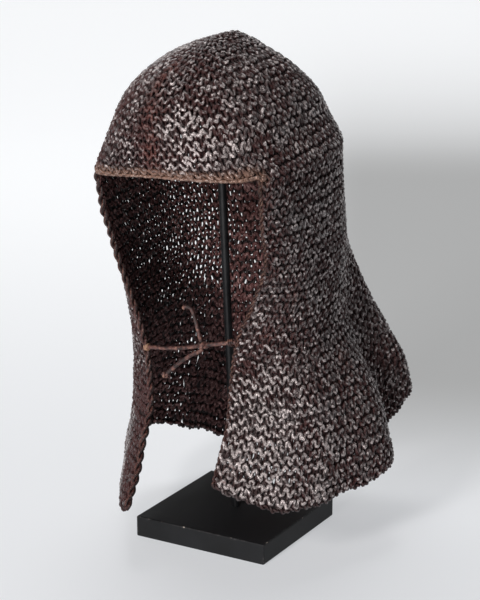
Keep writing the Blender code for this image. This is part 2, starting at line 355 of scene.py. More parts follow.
@dataclass(frozen=True)
class PaintedCord:
    """Dark maroon string with pewter paint dry-brushed over its outer side."""

    string: Colour = (0.052, 0.0150, 0.0140)
    # The darker string colour is painted shade, for the cord's parts deep in the fabric.
    string_recess_shade: Colour = (0.010, 0.0035, 0.0035)
    lining: Colour = (0.105, 0.036, 0.034)
    lining_speck_and_highlight: Colour = (0.330, 0.190, 0.180)
    pewter: Colour = (0.095, 0.074, 0.073)
    pewter_highlight: Colour = (0.520, 0.450, 0.440)
    rust: Colour = (0.115, 0.034, 0.026)
    tan: Colour = (0.235, 0.130, 0.092)
    # Pressed places hold heavier paint and a painted pool of light; bare places hold less paint and painted
    # shade.
    heavy_paint_and_lit_places: tuple[Patch, ...] = (
        ((0.085, -0.115, 0.120), 0.130),
        ((0.025, -0.135, 0.425), 0.050),
    )
    bare_and_shaded_places: tuple[Patch, ...] = (
        ((-0.047, -0.128, 0.075), 0.050),
        ((-0.050, -0.110, 0.115), 0.050),
        ((-0.055, -0.090, 0.155), 0.040),
    )
    worn_places: tuple[Patch, ...] = (
        ((-0.0031, -0.0971, 0.4951), 0.012),
        ((-0.0099, -0.1333, 0.4595), 0.014),
        ((0.0048, -0.1426, 0.4245), 0.018),
        ((0.0024, -0.1364, 0.3960), 0.012),
        ((0.0948, -0.1044, 0.3782), 0.014),
        ((0.0970, -0.0508, 0.2766), 0.016),
        ((0.0785, -0.0775, 0.2401), 0.012),
        ((0.0646, -0.1240, 0.1108), 0.016),
        ((0.1146, 0.0202, 0.1947), 0.018),
    )

    fine_size: float = 2.6 * MM
    fibre_size: float = 2.1 * MM
    blotch_size: float = 11.0 * MM
    patch_size: float = 30.0 * MM
    bare_and_shade_loss: float = 1.6  # how much less paint a bare place holds than a pressed one gains; bare places are also painted shade, pressed ones a painted pool of light
    worn_share: float = 0.52
    bump_height: float = 0.8 * MM

    def patches(self, s: Shader, places: tuple[Patch, ...], size: float, offset: float) -> list[Value]:
        """Round patches with frayed edges.

        Args:
            s: The shader.
            places: The patches.
            size: The size of the noise that frays them.
            offset: Where that noise begins.

        Returns:
            A value for each patch, 1 in its middle.
        """
        return [
            s.near(centre, radius, s.noise(size, 2.0, 0.6, offset + index))
            for index, (centre, radius) in enumerate(places)
        ]

    def worn(self, s: Shader, fine: Value, blotches: Value) -> Value:
        """Where the paint is worn off the string.

        Args:
            s: The shader.
            fine: The fine noise.
            blotches: The noise of blotches.

        Returns:
            A value from 0 to 1.
        """
        worn = s.attribute("worn")
        for index, (centre, radius) in enumerate(self.worn_places):
            patch = s.near(centre, radius * 1.25, s.noise(0.013, 3.0, 0.7, 5.0 + index))
            worn = worn.math("MAXIMUM", patch * self.worn_share)
        return (worn + fine.swing(1.5) + blotches.swing(0.8)).step(0.32, 0.85)

    def material(self) -> bpy.types.Material:
        """Builds the material.

        Returns:
            The material, which reads the knit's relief, ply, worn and tan attributes.
        """
        s = Shader("painted_cord")
        relief, ply = s.attribute("relief"), s.attribute("ply")
        fine = s.noise(self.fine_size, 3.0, 0.6)
        areas = s.noise(self.patch_size, 3.0, 0.6, 3.1)
        blotches = s.noise(self.blotch_size, 2.0, 0.6, 1.7)
        worn = self.worn(s, fine, blotches)
        # The brush has only reached the outer side, and more of it where it was pressed. The pressed places
        # are also a painted pool of light, and the bare places painted shade.
        pressed_and_lit = sum(self.patches(s, self.heavy_paint_and_lit_places, 0.025, 15.0))
        pressed_and_lit = pressed_and_lit - sum(self.patches(s, self.bare_and_shaded_places, 0.020, 25.0)) * self.bare_and_shade_loss
        reach = relief * 0.9 + fine.swing(1.3) + areas.swing(1.7) + blotches.swing(0.8)
        paint = (reach + pressed_and_lit * 0.22).step(0.42, 1.0) * (1.0 - worn * 0.85)
        # Painted highlight: a lighter pewter on the outermost ridges of the paint, where glints of light
        # fall.
        rubbed = relief * 0.8 + blotches.swing(1.4) + fine.swing(1.8) + pressed_and_lit * 0.25
        gleam_highlight = rubbed.step(0.74, 1.12) * paint
        # Painted shade: the cord is coloured darker where it lies deep in the fabric and along the loops'
        # legs, between the bumps.
        depth = relief.step(0.0, 0.75)
        lined = relief.step(-0.25, -0.85) * (blotches + fine - 0.25).step(0.2, 0.9)
        edge = (s.attribute("tan") + fine.swing(0.8)).step(0.25, 0.75) * relief.step(-0.3, 0.35)
        # The pale pink flecks on the innermost bumps are partly paint specks and partly painted highlight.
        speck_and_highlight = relief.step(-0.30, -0.85)
        speck_and_highlight = speck_and_highlight * (fine.swing(2.0) + blotches.swing(1.4) + ply * 0.2).step(0.0, 0.45)
        colour = s.mix(depth, self.string_recess_shade, self.string)
        for share, layer in (
            (lined, self.lining),
            (worn * depth, self.rust),
            (paint * 0.92, self.pewter),
            (gleam_highlight, self.pewter_highlight),
            (edge * 0.85, self.tan),
            (speck_and_highlight * 0.8, self.lining_speck_and_highlight),
        ):
            colour = s.mix(share, colour, layer)
        roughness = 0.50 - paint * 0.16 - gleam_highlight * 0.10 + fine.swing(0.35)
        fibres = s.noise(self.fibre_size, 2.0, 0.6, 4.4)
        return s.finish(
            Base_Color=colour,
            Roughness=roughness.math("MAXIMUM", 0.18),
            Metallic=paint * 0.35,
            Normal=s.bump(ply * 0.5 + fibres * 2.4, 1.0, self.bump_height),
            Coat_Weight=0.05 + paint * 0.5,
            Specular_IOR_Level=0.35,
            Coat_Roughness=0.16,
        )


@dataclass(frozen=True)
class LaceLeather:
    """Soft brown lace with creases and rubbed high spots."""

    name: str = "lace_leather"
    brown: Colour = (0.135, 0.056, 0.048)
    dark: Colour = (0.022, 0.010, 0.009)
    rubbed: Colour = (0.330, 0.180, 0.120)

    def material(self) -> bpy.types.Material:
        """Builds the material.

        Returns:
            The material.
        """
        s = Shader(self.name)
        grain = s.noise(0.0014, 3.0, 0.6)
        crease = s.noise(0.0060, 2.0, 0.5, 2.0)
        colour = s.mix(crease.step(0.35, 0.65), self.dark, self.brown)
        colour = s.mix((grain * 0.6 + crease * 0.6).step(0.62, 0.80) * 0.8, colour, self.rubbed)
        return s.finish(
            Base_Color=colour,
            Roughness=0.45 + grain * 0.3,
            Normal=s.bump(grain + crease, 0.6, 0.4 * MM),
        )


@dataclass(frozen=True)
class ChippedPlate:
    """Matte black paint on wood, chipped at the plate's edges."""

    half_side: float
    top: float
    paint: Colour = (0.0035, 0.0037, 0.0045)
    dust: Colour = (0.008, 0.0085, 0.010)
    rubbed: Colour = (0.12, 0.11, 0.11)
    bare: Colour = (0.42, 0.36, 0.31)
    chip_fall: float = 110.0  # how fast chips give out with the distance from an arris, per metre
    rub_fall: float = 60.0

    def material(self) -> bpy.types.Material:
        """Builds the material.

        Returns:
            The material.
        """
        s = Shader("plate_paint")
        x, y, z = s.axes()
        from_x = (self.half_side - x.math("ABSOLUTE")).math("MAXIMUM", 0.0)
        from_y = (self.half_side - y.math("ABSOLUTE")).math("MAXIMUM", 0.0)
        from_top = (self.top - z).math("MAXIMUM", 0.0)
        # An arris is near two of the three faces at once.
        side = from_x.math("MINIMUM", from_y)
        arris = from_top.math("MAXIMUM", side).math("MINIMUM", from_x.math("MAXIMUM", from_y))
        patch = s.noise(0.0110, 3.0, 0.65, 0.4)
        specks = s.noise(0.0022, 3.0, 0.7, 1.3)
        chips = (patch * 0.75 + specks * 0.45 - arris * self.chip_fall).step(0.635, 0.67)
        rubbed = (patch * 0.4 + specks * 0.5 - arris * self.rub_fall).step(0.36, 0.55)
        cloud = s.noise(0.05, 3.0, 0.6, 2.2)
        colour = s.mix(cloud.step(0.35, 0.7), self.paint, self.dust)
        colour = s.mix(rubbed * 0.35, colour, self.rubbed)
        colour = s.mix(chips, colour, self.bare)
        height = specks * 0.25 + s.noise(0.0008, 2.0, 0.6) * 0.2 - chips * 0.6
        return s.finish(
            Base_Color=colour,
            Roughness=0.50 + cloud * 0.18 + chips * 0.3,
            Specular_IOR_Level=0.3,
            Normal=s.bump(height, 0.5, 0.5 * MM),
        )


@dataclass(frozen=True)
class BlackCoat:
    """Black enamel, a little cloudy."""

    name: str
    colour: Colour = (0.005, 0.0052, 0.006)
    light: Colour = (0.012, 0.0125, 0.014)
    roughness: float = 0.38
    grain: float = 0.0009

    def material(self) -> bpy.types.Material:
        """Builds the material.

        Returns:
            The material.
        """
        s = Shader(self.name)
        cloud = s.noise(0.018, 3.0, 0.6)
        grain = s.noise(self.grain, 2.0, 0.5)
        return s.finish(
            Base_Color=s.mix(cloud.step(0.35, 0.7), self.colour, self.light),
            Roughness=self.roughness + grain.swing(0.2),
            Specular_IOR_Level=0.3,
            Normal=s.bump(grain, 0.3, 0.2 * MM),
        )


@dataclass(frozen=True)
class PalePaper:
    """The studio's paper sweep: it glows a little, more up the wall, and has the hood's shadow painted on
    it, greyer behind on the right.
    """

    ahead: tuple[float, float]  # level direction in which the paper runs away from the viewer
    reach: float = 1.82  # how far this side of the middle the painted shadow's two sides meet
    colour: Colour = (0.42, 0.425, 0.435)
    glow: Colour = (0.405, 0.415, 0.430)
    wall_glow: Colour = (0.70, 0.71, 0.72)
    painted_shadow: Colour = (0.19, 0.195, 0.195)
    shadow_glow: Colour = (0.285, 0.285, 0.285)
    shadow_edge: tuple[float, float] = (-0.03, 0.07)  # where the painted shadow's side fades in
    shadow_floor: tuple[float, float] = (0.0, 0.5)  # metres behind the hood where it begins
    shadow_wall: tuple[float, float] = (2.7, 1.65)  # and where it has gone again
    glow_rise: tuple[float, float] = (-0.4, 1.8)

    def material(self) -> bpy.types.Material:
        """Builds the material.

        Returns:
            The material.
        """
        s = Shader("studio_paper")
        x, y, _ = s.axes()
        away = x * self.ahead[0] + y * self.ahead[1]
        aside = x * self.ahead[1] - y * self.ahead[0]
        # Painted shadow: the hood's cast shadow is a grey wedge behind it on the right, with less glow.
        wide = (aside / (away + self.reach).math("MAXIMUM", 0.2)).step(*self.shadow_edge)
        painted_shadow = wide * away.step(*self.shadow_floor) * away.step(*self.shadow_wall)
        glow = s.mix(away.step(*self.glow_rise), self.glow, self.wall_glow)
        return s.finish(
            Base_Color=s.mix(painted_shadow, self.colour, self.painted_shadow),
            Roughness=0.9,
            Emission_Color=s.mix(painted_shadow, glow, self.shadow_glow),
            Emission_Strength=1.0,
        )


# The hood's outer face


@dataclass(frozen=True)
class Table:
    """Rows of figures under named columns, read along the first column on a smooth curve."""

    columns: tuple[str, ...]
    rows: tuple[tuple[float, ...], ...]

    def column(self, name: str) -> np.ndarray:
        """One column's figures."""
        return np.array([row[self.columns.index(name)] for row in self.rows])

    def read(self, name: str, at: np.ndarray | float) -> np.ndarray:
        """A column's value anywhere along the table.

        Args:
            name: The column.
            at: Places along the first column.

        Returns:
            The values, which never overshoot the rows.
        """
        xs, ys = self.column(self.columns[0]), self.column(name)
        slopes = np.diff(ys) / np.diff(xs)
        tangents = np.zeros(len(ys))
        tangents[0], tangents[-1] = slopes[0], slopes[-1]
        before, after = slopes[:-1], slopes[1:]
        same_way = before * after > 0
        total = np.where(same_way, before + after, 1.0)
        tangents[1:-1] = np.where(same_way, 2.0 * before * after / total, 0.0)
        where = np.clip(np.asarray(at, float), xs[0], xs[-1])
        cell = np.clip(np.searchsorted(xs, where, side="right") - 1, 0, len(xs) - 2)
        width = xs[cell + 1] - xs[cell]
        t = (where - xs[cell]) / width
        rise = ys[cell + 1] - ys[cell]
        start, end = tangents[cell] * width, tangents[cell + 1] * width
        return ys[cell] + t * (start + t * (3.0 * rise - 2.0 * start - end + t * (start + end - 2.0 * rise)))


# Rings of the crown, from its ridge down to the brow. way: share of the way down. half_width: of
# the head's width. front, back: of its depth. front_up, side_up, back_up: height over the brow, of
# the crown's rise. square: how square the front half is. shift: of the middle to +X.
CROWN_RINGS = Table(
    ("way", "half_width", "front", "back", "front_up", "side_up", "back_up", "square", "shift"),
    (
        (0.00, 0.000, 0.334, 0.130, 0.888, 1.000, 0.930, 2.0, -0.036),
        (0.15, 0.095, 0.400, 0.178, 0.822, 0.950, 0.863, 2.1, -0.054),
        (0.30, 0.205, 0.459, 0.220, 0.707, 0.866, 0.780, 2.2, -0.080),
        (0.50, 0.335, 0.520, 0.290, 0.524, 0.698, 0.650, 2.4, -0.070),
        (0.70, 0.406, 0.547, 0.362, 0.310, 0.480, 0.502, 3.0, -0.040),
        (0.85, 0.442, 0.552, 0.402, 0.144, 0.282, 0.340, 4.0, -0.022),
        (1.00, 0.496, 0.516, 0.420, 0.000, 0.095, 0.150, 5.4, 0.000),
    ),
)
# Level sections of the neck and cape. down: share of the cape's drop under the brow.
# half_gap: half the opening between the front edges, as a share of the face's width.
CAPE_SECTIONS = Table(
    ("down", "half_width", "front", "back", "square", "half_gap"),
    (
        (0.00, 0.496, 0.516, 0.420, 5.4, 0.500),
        (0.12, 0.500, 0.520, 0.446, 4.0, 0.489),
        (0.21, 0.502, 0.490, 0.475, 3.3, 0.478),
        (0.36, 0.498, 0.436, 0.506, 2.6, 0.390),
        (0.47, 0.501, 0.415, 0.508, 2.3, 0.306),
        (0.59, 0.547, 0.401, 0.512, 2.2, 0.269),
        (0.71, 0.616, 0.412, 0.562, 2.2, 0.263),
        (0.82, 0.657, 0.486, 0.578, 2.2, 0.269),
        (0.94, 0.695, 0.556, 0.606, 2.2, 0.258),
        (1.06, 0.702, 0.640, 0.596, 2.2, 0.247),
    ),
)
# Folds of the cape. side: 1 or -1 for +X or -X. way: from the front edge (0) to the middle of the
# back (1). spread: half its breadth on that scale. out: how far it stands out, as a share of the
# head's width. begins, full: shares of the way down to the hem.
FOLDS = Table(
    ("side", "way", "spread", "out", "begins", "full"),
    (
        (1, 0.00, 0.12, 0.037, 0.80, 1.00),
        (1, 0.52, 0.18, 0.096, 0.45, 1.00),
        (1, 0.63, 0.07, -0.070, 0.60, 1.00),
        (1, 0.73, 0.15, 0.262, 0.30, 0.90),
        (-1, 0.00, 0.12, 0.024, 0.86, 1.00),
        (-1, 0.22, 0.38, -0.156, 0.42, 0.95),
        (-1, 0.50, 0.20, 0.037, 0.50, 1.00),
        (-1, 0.64, 0.10, -0.040, 0.60, 1.00),
        (-1, 0.78, 0.12, 0.060, 0.40, 1.00),
    ),
)
# The hem's height over its mean level on each side, as a share of the cape's drop.
HEM = Table(
    ("way", "left_up", "right_up"),
    (
        (0.00, 0.003, 0.130),
        (0.05, -0.002, 0.102),
        (0.10, 0.000, 0.075),
        (0.22, 0.002, 0.040),
        (0.40, 0.036, 0.054),
        (0.52, 0.045, 0.073),
        (0.62, 0.027, 0.112),
        (0.70, -0.006, 0.213),
        (0.78, -0.055, 0.222),
        (0.88, -0.060, 0.100),
        (1.00, -0.020, -0.020),
    ),
)


def run_along(line: np.ndarray) -> np.ndarray:
    """Distance along a line of points.

    Args:
        line: Points, one a row.

    Returns:
        The distance from the first point to each.
    """
    steps = np.linalg.norm(np.diff(line, axis=0), axis=-1)
    return np.concatenate(([0.0], np.cumsum(steps)))


def read_along(run: np.ndarray, values: np.ndarray, shares: np.ndarray) -> np.ndarray:
    """Values at shares of a run.

    Args:
        run: Distance of each value along its line.
        values: The values, one a row.
        shares: Shares of the whole run.

    Returns:
        The values there.
    """
    columns = [np.interp(shares * run[-1], run, column) for column in values.T]
    return np.stack(columns, -1)


def along(line: np.ndarray, shares: np.ndarray) -> np.ndarray:
    """Points at shares of a line's length."""
    return read_along(run_along(line), line, shares)


def unit(vectors: np.ndarray) -> np.ndarray:
    """Vectors drawn out or in to a length of 1."""
    length = np.linalg.norm(vectors, axis=-1, keepdims=True)
    return vectors / np.maximum(length, 1e-12)


@dataclass
class HoodFace:
    """The hood's outer face as a lattice: courses of the knit down it, places round it.

    A place round it, `turn`, runs from 0 at the middle of the front over the +X side to 1 at the
    middle of the back, and on to 2 over the -X side. `course` runs from 0 at the crown's ridge.
    """

    brow_height: float = 0.390
    crown_rise: float = 0.126
    cape_drop: float = 0.330
    head_width: float = 0.204
    head_depth: float = 0.260
    face_width: float = 0.186
    lean: float = 0.040
    back_square: float = 2.2
    crown_courses: int = 32
    cape_courses: int = 64
    finest: int = 2  # lattice rows for each course
    face_columns: int = 30  # lattice columns from the middle of the brow to its corner
    wall_columns: int = 90  # and from there round to the middle of the back
    outline_points: int = 361  # of half a ring
    cape_levels: int = 160  # level cuts of the cape that the lattice is read from
    brow_margin: int = 2  # courses that the crown's rows run on under the brow
    edge_margin: float = 0.02  # how far the cape's rows run on past the front edge
    corner: float = field(init=False)
    shares: np.ndarray = field(init=False)
    points: np.ndarray = field(init=False)
    normals: np.ndarray = field(init=False)

    def __post_init__(self) -> None:
        """Works out the lattice."""
        brow = {name: float(CROWN_RINGS.read(name, 1.0)) for name in CROWN_RINGS.columns[1:]}
        self.corner = self.edge_share(self.outline(brow), self.face_width / 2.0)
        brow_shares = np.linspace(0.0, self.corner, self.face_columns + 1)
        wall_shares = np.linspace(self.corner, 1.0, self.wall_columns + 1)
        self.shares = np.concatenate((brow_shares, wall_shares[1:]))
        sides = [self.side(sign) for sign in (1.0, -1.0)]
        self.points = np.concatenate([sides[0], sides[1][:, -2::-1]], axis=1)
        self.normals = self.facing(self.points)

    @property
    def courses(self) -> int:
        """Courses from the ridge to the hem."""
        return self.crown_courses + self.cape_courses

    def outline(self, ring: dict[str, float]) -> np.ndarray:
        """Half of a ring seen from above, from the middle of its front to that of its back.

        Args:
            ring: The ring's half_width, front, back and square.

        Returns:
            Points as across and along.
        """
        turn = np.linspace(0.0, math.pi, self.outline_points)
        square = np.where(turn < math.pi / 2, ring["square"], self.back_square)
        reach = np.where(turn < math.pi / 2, ring["front"], ring["back"]) * self.head_depth
        across = np.abs(np.sin(turn)) ** (2.0 / square) * ring["half_width"] * self.head_width
        depth = -np.sign(np.cos(turn)) * np.abs(np.cos(turn)) ** (2.0 / square) * reach
        return np.column_stack((across, depth))

    def edge_share(self, line: np.ndarray, across: float) -> float:
        """Where a half outline's front part reaches a distance from the middle.

        Args:
            line: The half outline.
            across: The distance.

        Returns:
            The share of the outline's length.
        """
        run = run_along(line)
        widest = int(np.argmax(line[:, 0]))
        return float(np.interp(across, line[: widest + 1, 0], run[: widest + 1])) / run[-1]

    def crown_row(self, sign: float, way: float, shares: np.ndarray) -> np.ndarray:
        """A ring of the crown on one side.

        Args:
            sign: 1 for the +X side, -1 for the other.
            way: How far down the crown it lies, from 0 to 1.
            shares: Shares of the half ring, from the front.

        Returns:
            Its points.
        """
        ring = {name: float(CROWN_RINGS.read(name, way)) for name in CROWN_RINGS.columns[1:]}
        flat = along(self.outline(ring), shares)
        reach = np.where(flat[:, 1] < 0.0, ring["front"], ring["back"]) * self.head_depth
        ahead = -flat[:, 1] / reach
        tilt = (ring["front_up"] - ring["back_up"]) / 2.0
        arch = (ring["front_up"] + ring["back_up"]) / 2.0 - ring["side_up"]
        up = ring["side_up"] + tilt * ahead + arch * ahead * ahead
        across = sign * flat[:, 0] + ring["shift"] * self.head_width
        height = self.brow_height + self.crown_rise * up + self.lean * across
        return np.column_stack((across, flat[:, 1], height))

    def fold_out(self, sign: float, way: np.ndarray, down: np.ndarray) -> np.ndarray:
        """How far the folds stand out.

        Args:
            sign: 1 for the +X side, -1 for the other.
            way: Places from the front edge (0) round to the middle of the back (1).
            down: Places from the brow ring (0) down to the hem (1).

        Returns:
            Lengths.
        """
        out = np.zeros_like(way)
        for row in FOLDS.rows:
            fold = dict(zip(FOLDS.columns, row))
            gap = np.abs(way - fold["way"]) if sign == fold["side"] else 2.0 - way - fold["way"]
            grown = np.clip((down - fold["begins"]) / (fold["full"] - fold["begins"]), 0.0, 1.0)
            ease = grown * grown * (3.0 - 2.0 * grown)
            bulge = 0.5 + 0.5 * np.cos(math.pi * gap / fold["spread"])
            out += np.where(gap < fold["spread"], fold["out"] * ease * bulge, 0.0)
        return out * self.head_width

    def cape_rows(self, sign: float, downs: np.ndarray, ways: np.ndarray) -> np.ndarray:
        """The neck and cape on one side.

        Args:
            sign: 1 for the +X side, -1 for the other.
            downs: Places from the brow ring (0) down to the hem (1) and a little past it.
            ways: Places from the front edge (0) round to the middle of the back (1).

        Returns:
            A lattice of points.
        """
        levels = np.linspace(0.0, CAPE_SECTIONS.rows[-1][0], self.cape_levels)
        level_points = []
        for level in levels:
            cut = {name: float(CAPE_SECTIONS.read(name, level)) for name in CAPE_SECTIONS.columns[1:]}
            line = self.outline(cut)
            edge = self.edge_share(line, cut["half_gap"] * self.face_width)
            level_points.append(along(line, edge + ways * (1.0 - edge)))
        flat = np.array(level_points)
        top = self.crown_row(sign, 1.0, self.corner + ways * (1.0 - self.corner))[:, 2]
        hem_up = HEM.read("right_up" if sign > 0 else "left_up", ways)
        hem = self.brow_height + self.cape_drop * (hem_up - 1.0)
        height = top[None] + (hem - top)[None] * downs[:, None]
        level = np.clip((self.brow_height - height) / self.cape_drop, 0.0, levels[-1])
        place = level / levels[1]
        low = np.minimum(place.astype(int), len(levels) - 2)
        share = (place - low)[..., None]
        column = np.arange(len(ways))[None]
        across = flat[low, column] * (1.0 - share) + flat[low + 1, column] * share
        across = across * (sign, 1.0)
        outward = unit(across)
        ways_all = np.broadcast_to(ways[None], height.shape)
        downs_all = np.broadcast_to(downs[:, None], height.shape)
        across = across + outward * self.fold_out(sign, ways_all, downs_all)[..., None]
        return np.concatenate([across, height[..., None]], axis=-1)

    def side(self, sign: float) -> np.ndarray:
        """The lattice of one side, from the middle of the front to the middle of the back.

        Args:
            sign: 1 for the +X side, -1 for the other.

        Returns:
            Points by row and column.
        """
        rows = self.crown_courses * self.finest
        crown = np.array([self.crown_row(sign, row / rows, self.shares) for row in range(rows + 1)])
        ways = (self.shares - self.corner) / (1.0 - self.corner)
        downs = np.arange(1, (self.cape_courses + 1) * self.finest + 1) / (self.cape_courses * self.finest)
        wall = self.cape_rows(sign, downs, np.maximum(ways[self.face_columns :], 0.0))
        slope = (wall[:, 1] - wall[:, 0]) / ways[self.face_columns + 1]
        past = np.maximum(ways[: self.face_columns], -self.edge_margin)
        spare = wall[:, None, 0] + slope[:, None] * past[None, :, None]
        # Right under the brow it is the crown's last rows that run on.
        margin = self.brow_margin * self.finest
        count = np.arange(1, margin + 1)[:, None, None]
        spare[:margin] = (crown[-1] + (crown[-1] - crown[-2]) * count)[:, : self.face_columns]
        cape = np.concatenate([spare, wall], axis=1)
        return np.concatenate([crown, cape])

    def facing(self, points: np.ndarray) -> np.ndarray:
        """Normals of a lattice, turned outwards.

        Args:
            points: The lattice.

        Returns:
            Unit vectors.
        """
        round_way = np.gradient(points, axis=1)
        round_way[:, 0] = points[:, 1] - points[:, -2]
        round_way[:, -1] = round_way[:, 0]
        down_way = np.gradient(points, axis=0)
        normal = np.cross(down_way, round_way)
        normal[0] = normal[1]
        return unit(normal)

    def sample(self, turn: np.ndarray, course: np.ndarray) -> tuple[np.ndarray, np.ndarray]:
        """Points and normals anywhere on the face.

        Args:
            turn: Places round it.
            course: Places down it. One above the ridge lies on the other side of it.

        Returns:
            The points and the unit normals.
        """
        over = course < 0.0
        turn = np.mod(np.where(over, 2.0 - turn, turn), 2.0)
        course = np.abs(course)
        col = np.interp(np.minimum(turn, 2.0 - turn), self.shares, np.arange(len(self.shares)))
        col = np.where(turn > 1.0, self.points.shape[1] - 1.0 - col, col)
        row = np.clip(course * self.finest, 0.0, self.points.shape[0] - 1.001)
        left, low = np.minimum(col.astype(int), self.points.shape[1] - 2), row.astype(int)
        across, down = (col - left)[..., None], (row - low)[..., None]

        def blend(values: np.ndarray) -> np.ndarray:
            """Values between the lattice's corners.

            Args:
                values: A value at each corner.

            Returns:
                The values at the places asked for.
            """
            upper = values[low, left] * (1.0 - across) + values[low, left + 1] * across
            lower = values[low + 1, left] * (1.0 - across) + values[low + 1, left + 1] * across
            return upper * (1.0 - down) + lower * down

        return blend(self.points), unit(blend(self.normals))


# Swept cords


@dataclass
class Strands:
    """Polylines that a cord is swept along, with what the finish needs at each point."""

    points: list[np.ndarray] = field(default_factory=list)
    outward: list[np.ndarray] = field(default_factory=list)
    marks: dict[str, list[np.ndarray]] = field(default_factory=dict)
    closed: list[bool] = field(default_factory=list)

    def add(self, points: np.ndarray, outward: np.ndarray, closed: bool, **marks: np.ndarray) -> None:
        """Adds one polyline.

        Args:
            points: Its points.
            outward: The unit normal of the fabric at each.
            closed: Whether its end joins its start.
            marks: Further values at each point, by attribute name.
        """
        self.points.append(points)
        self.outward.append(outward)
        self.closed.append(closed)
        for name, values in marks.items():
            self.marks.setdefault(name, []).append(values)

    def guide(self, name: str) -> bpy.types.Object:
        """The polylines as an object of bare edges.

        Args:
            name: The object's name.

        Returns:
            The object.
        """
        edges = []
        start = 0
        for points, closed in zip(self.points, self.closed):
            count = len(points)
            line = np.column_stack((np.arange(count - 1), np.arange(1, count))) + start
            edges.append(line)
            if closed:
                edges.append(np.array([[start + count - 1, start]]))
            start += count
        mesh = bpy.data.meshes.new(name)
        mesh.from_pydata(np.concatenate(self.points).tolist(), np.concatenate(edges).tolist(), [])
        outward = mesh.attributes.new("outward", "FLOAT_VECTOR", "POINT")
        outward.data.foreach_set("vector", np.concatenate(self.outward).astype(np.float32).ravel())
        for mark, values in self.marks.items():
            attribute = mesh.attributes.new(mark, "FLOAT", "POINT")
            attribute.data.foreach_set("value", np.concatenate(values).astype(np.float32))
        return new_object(name, mesh)


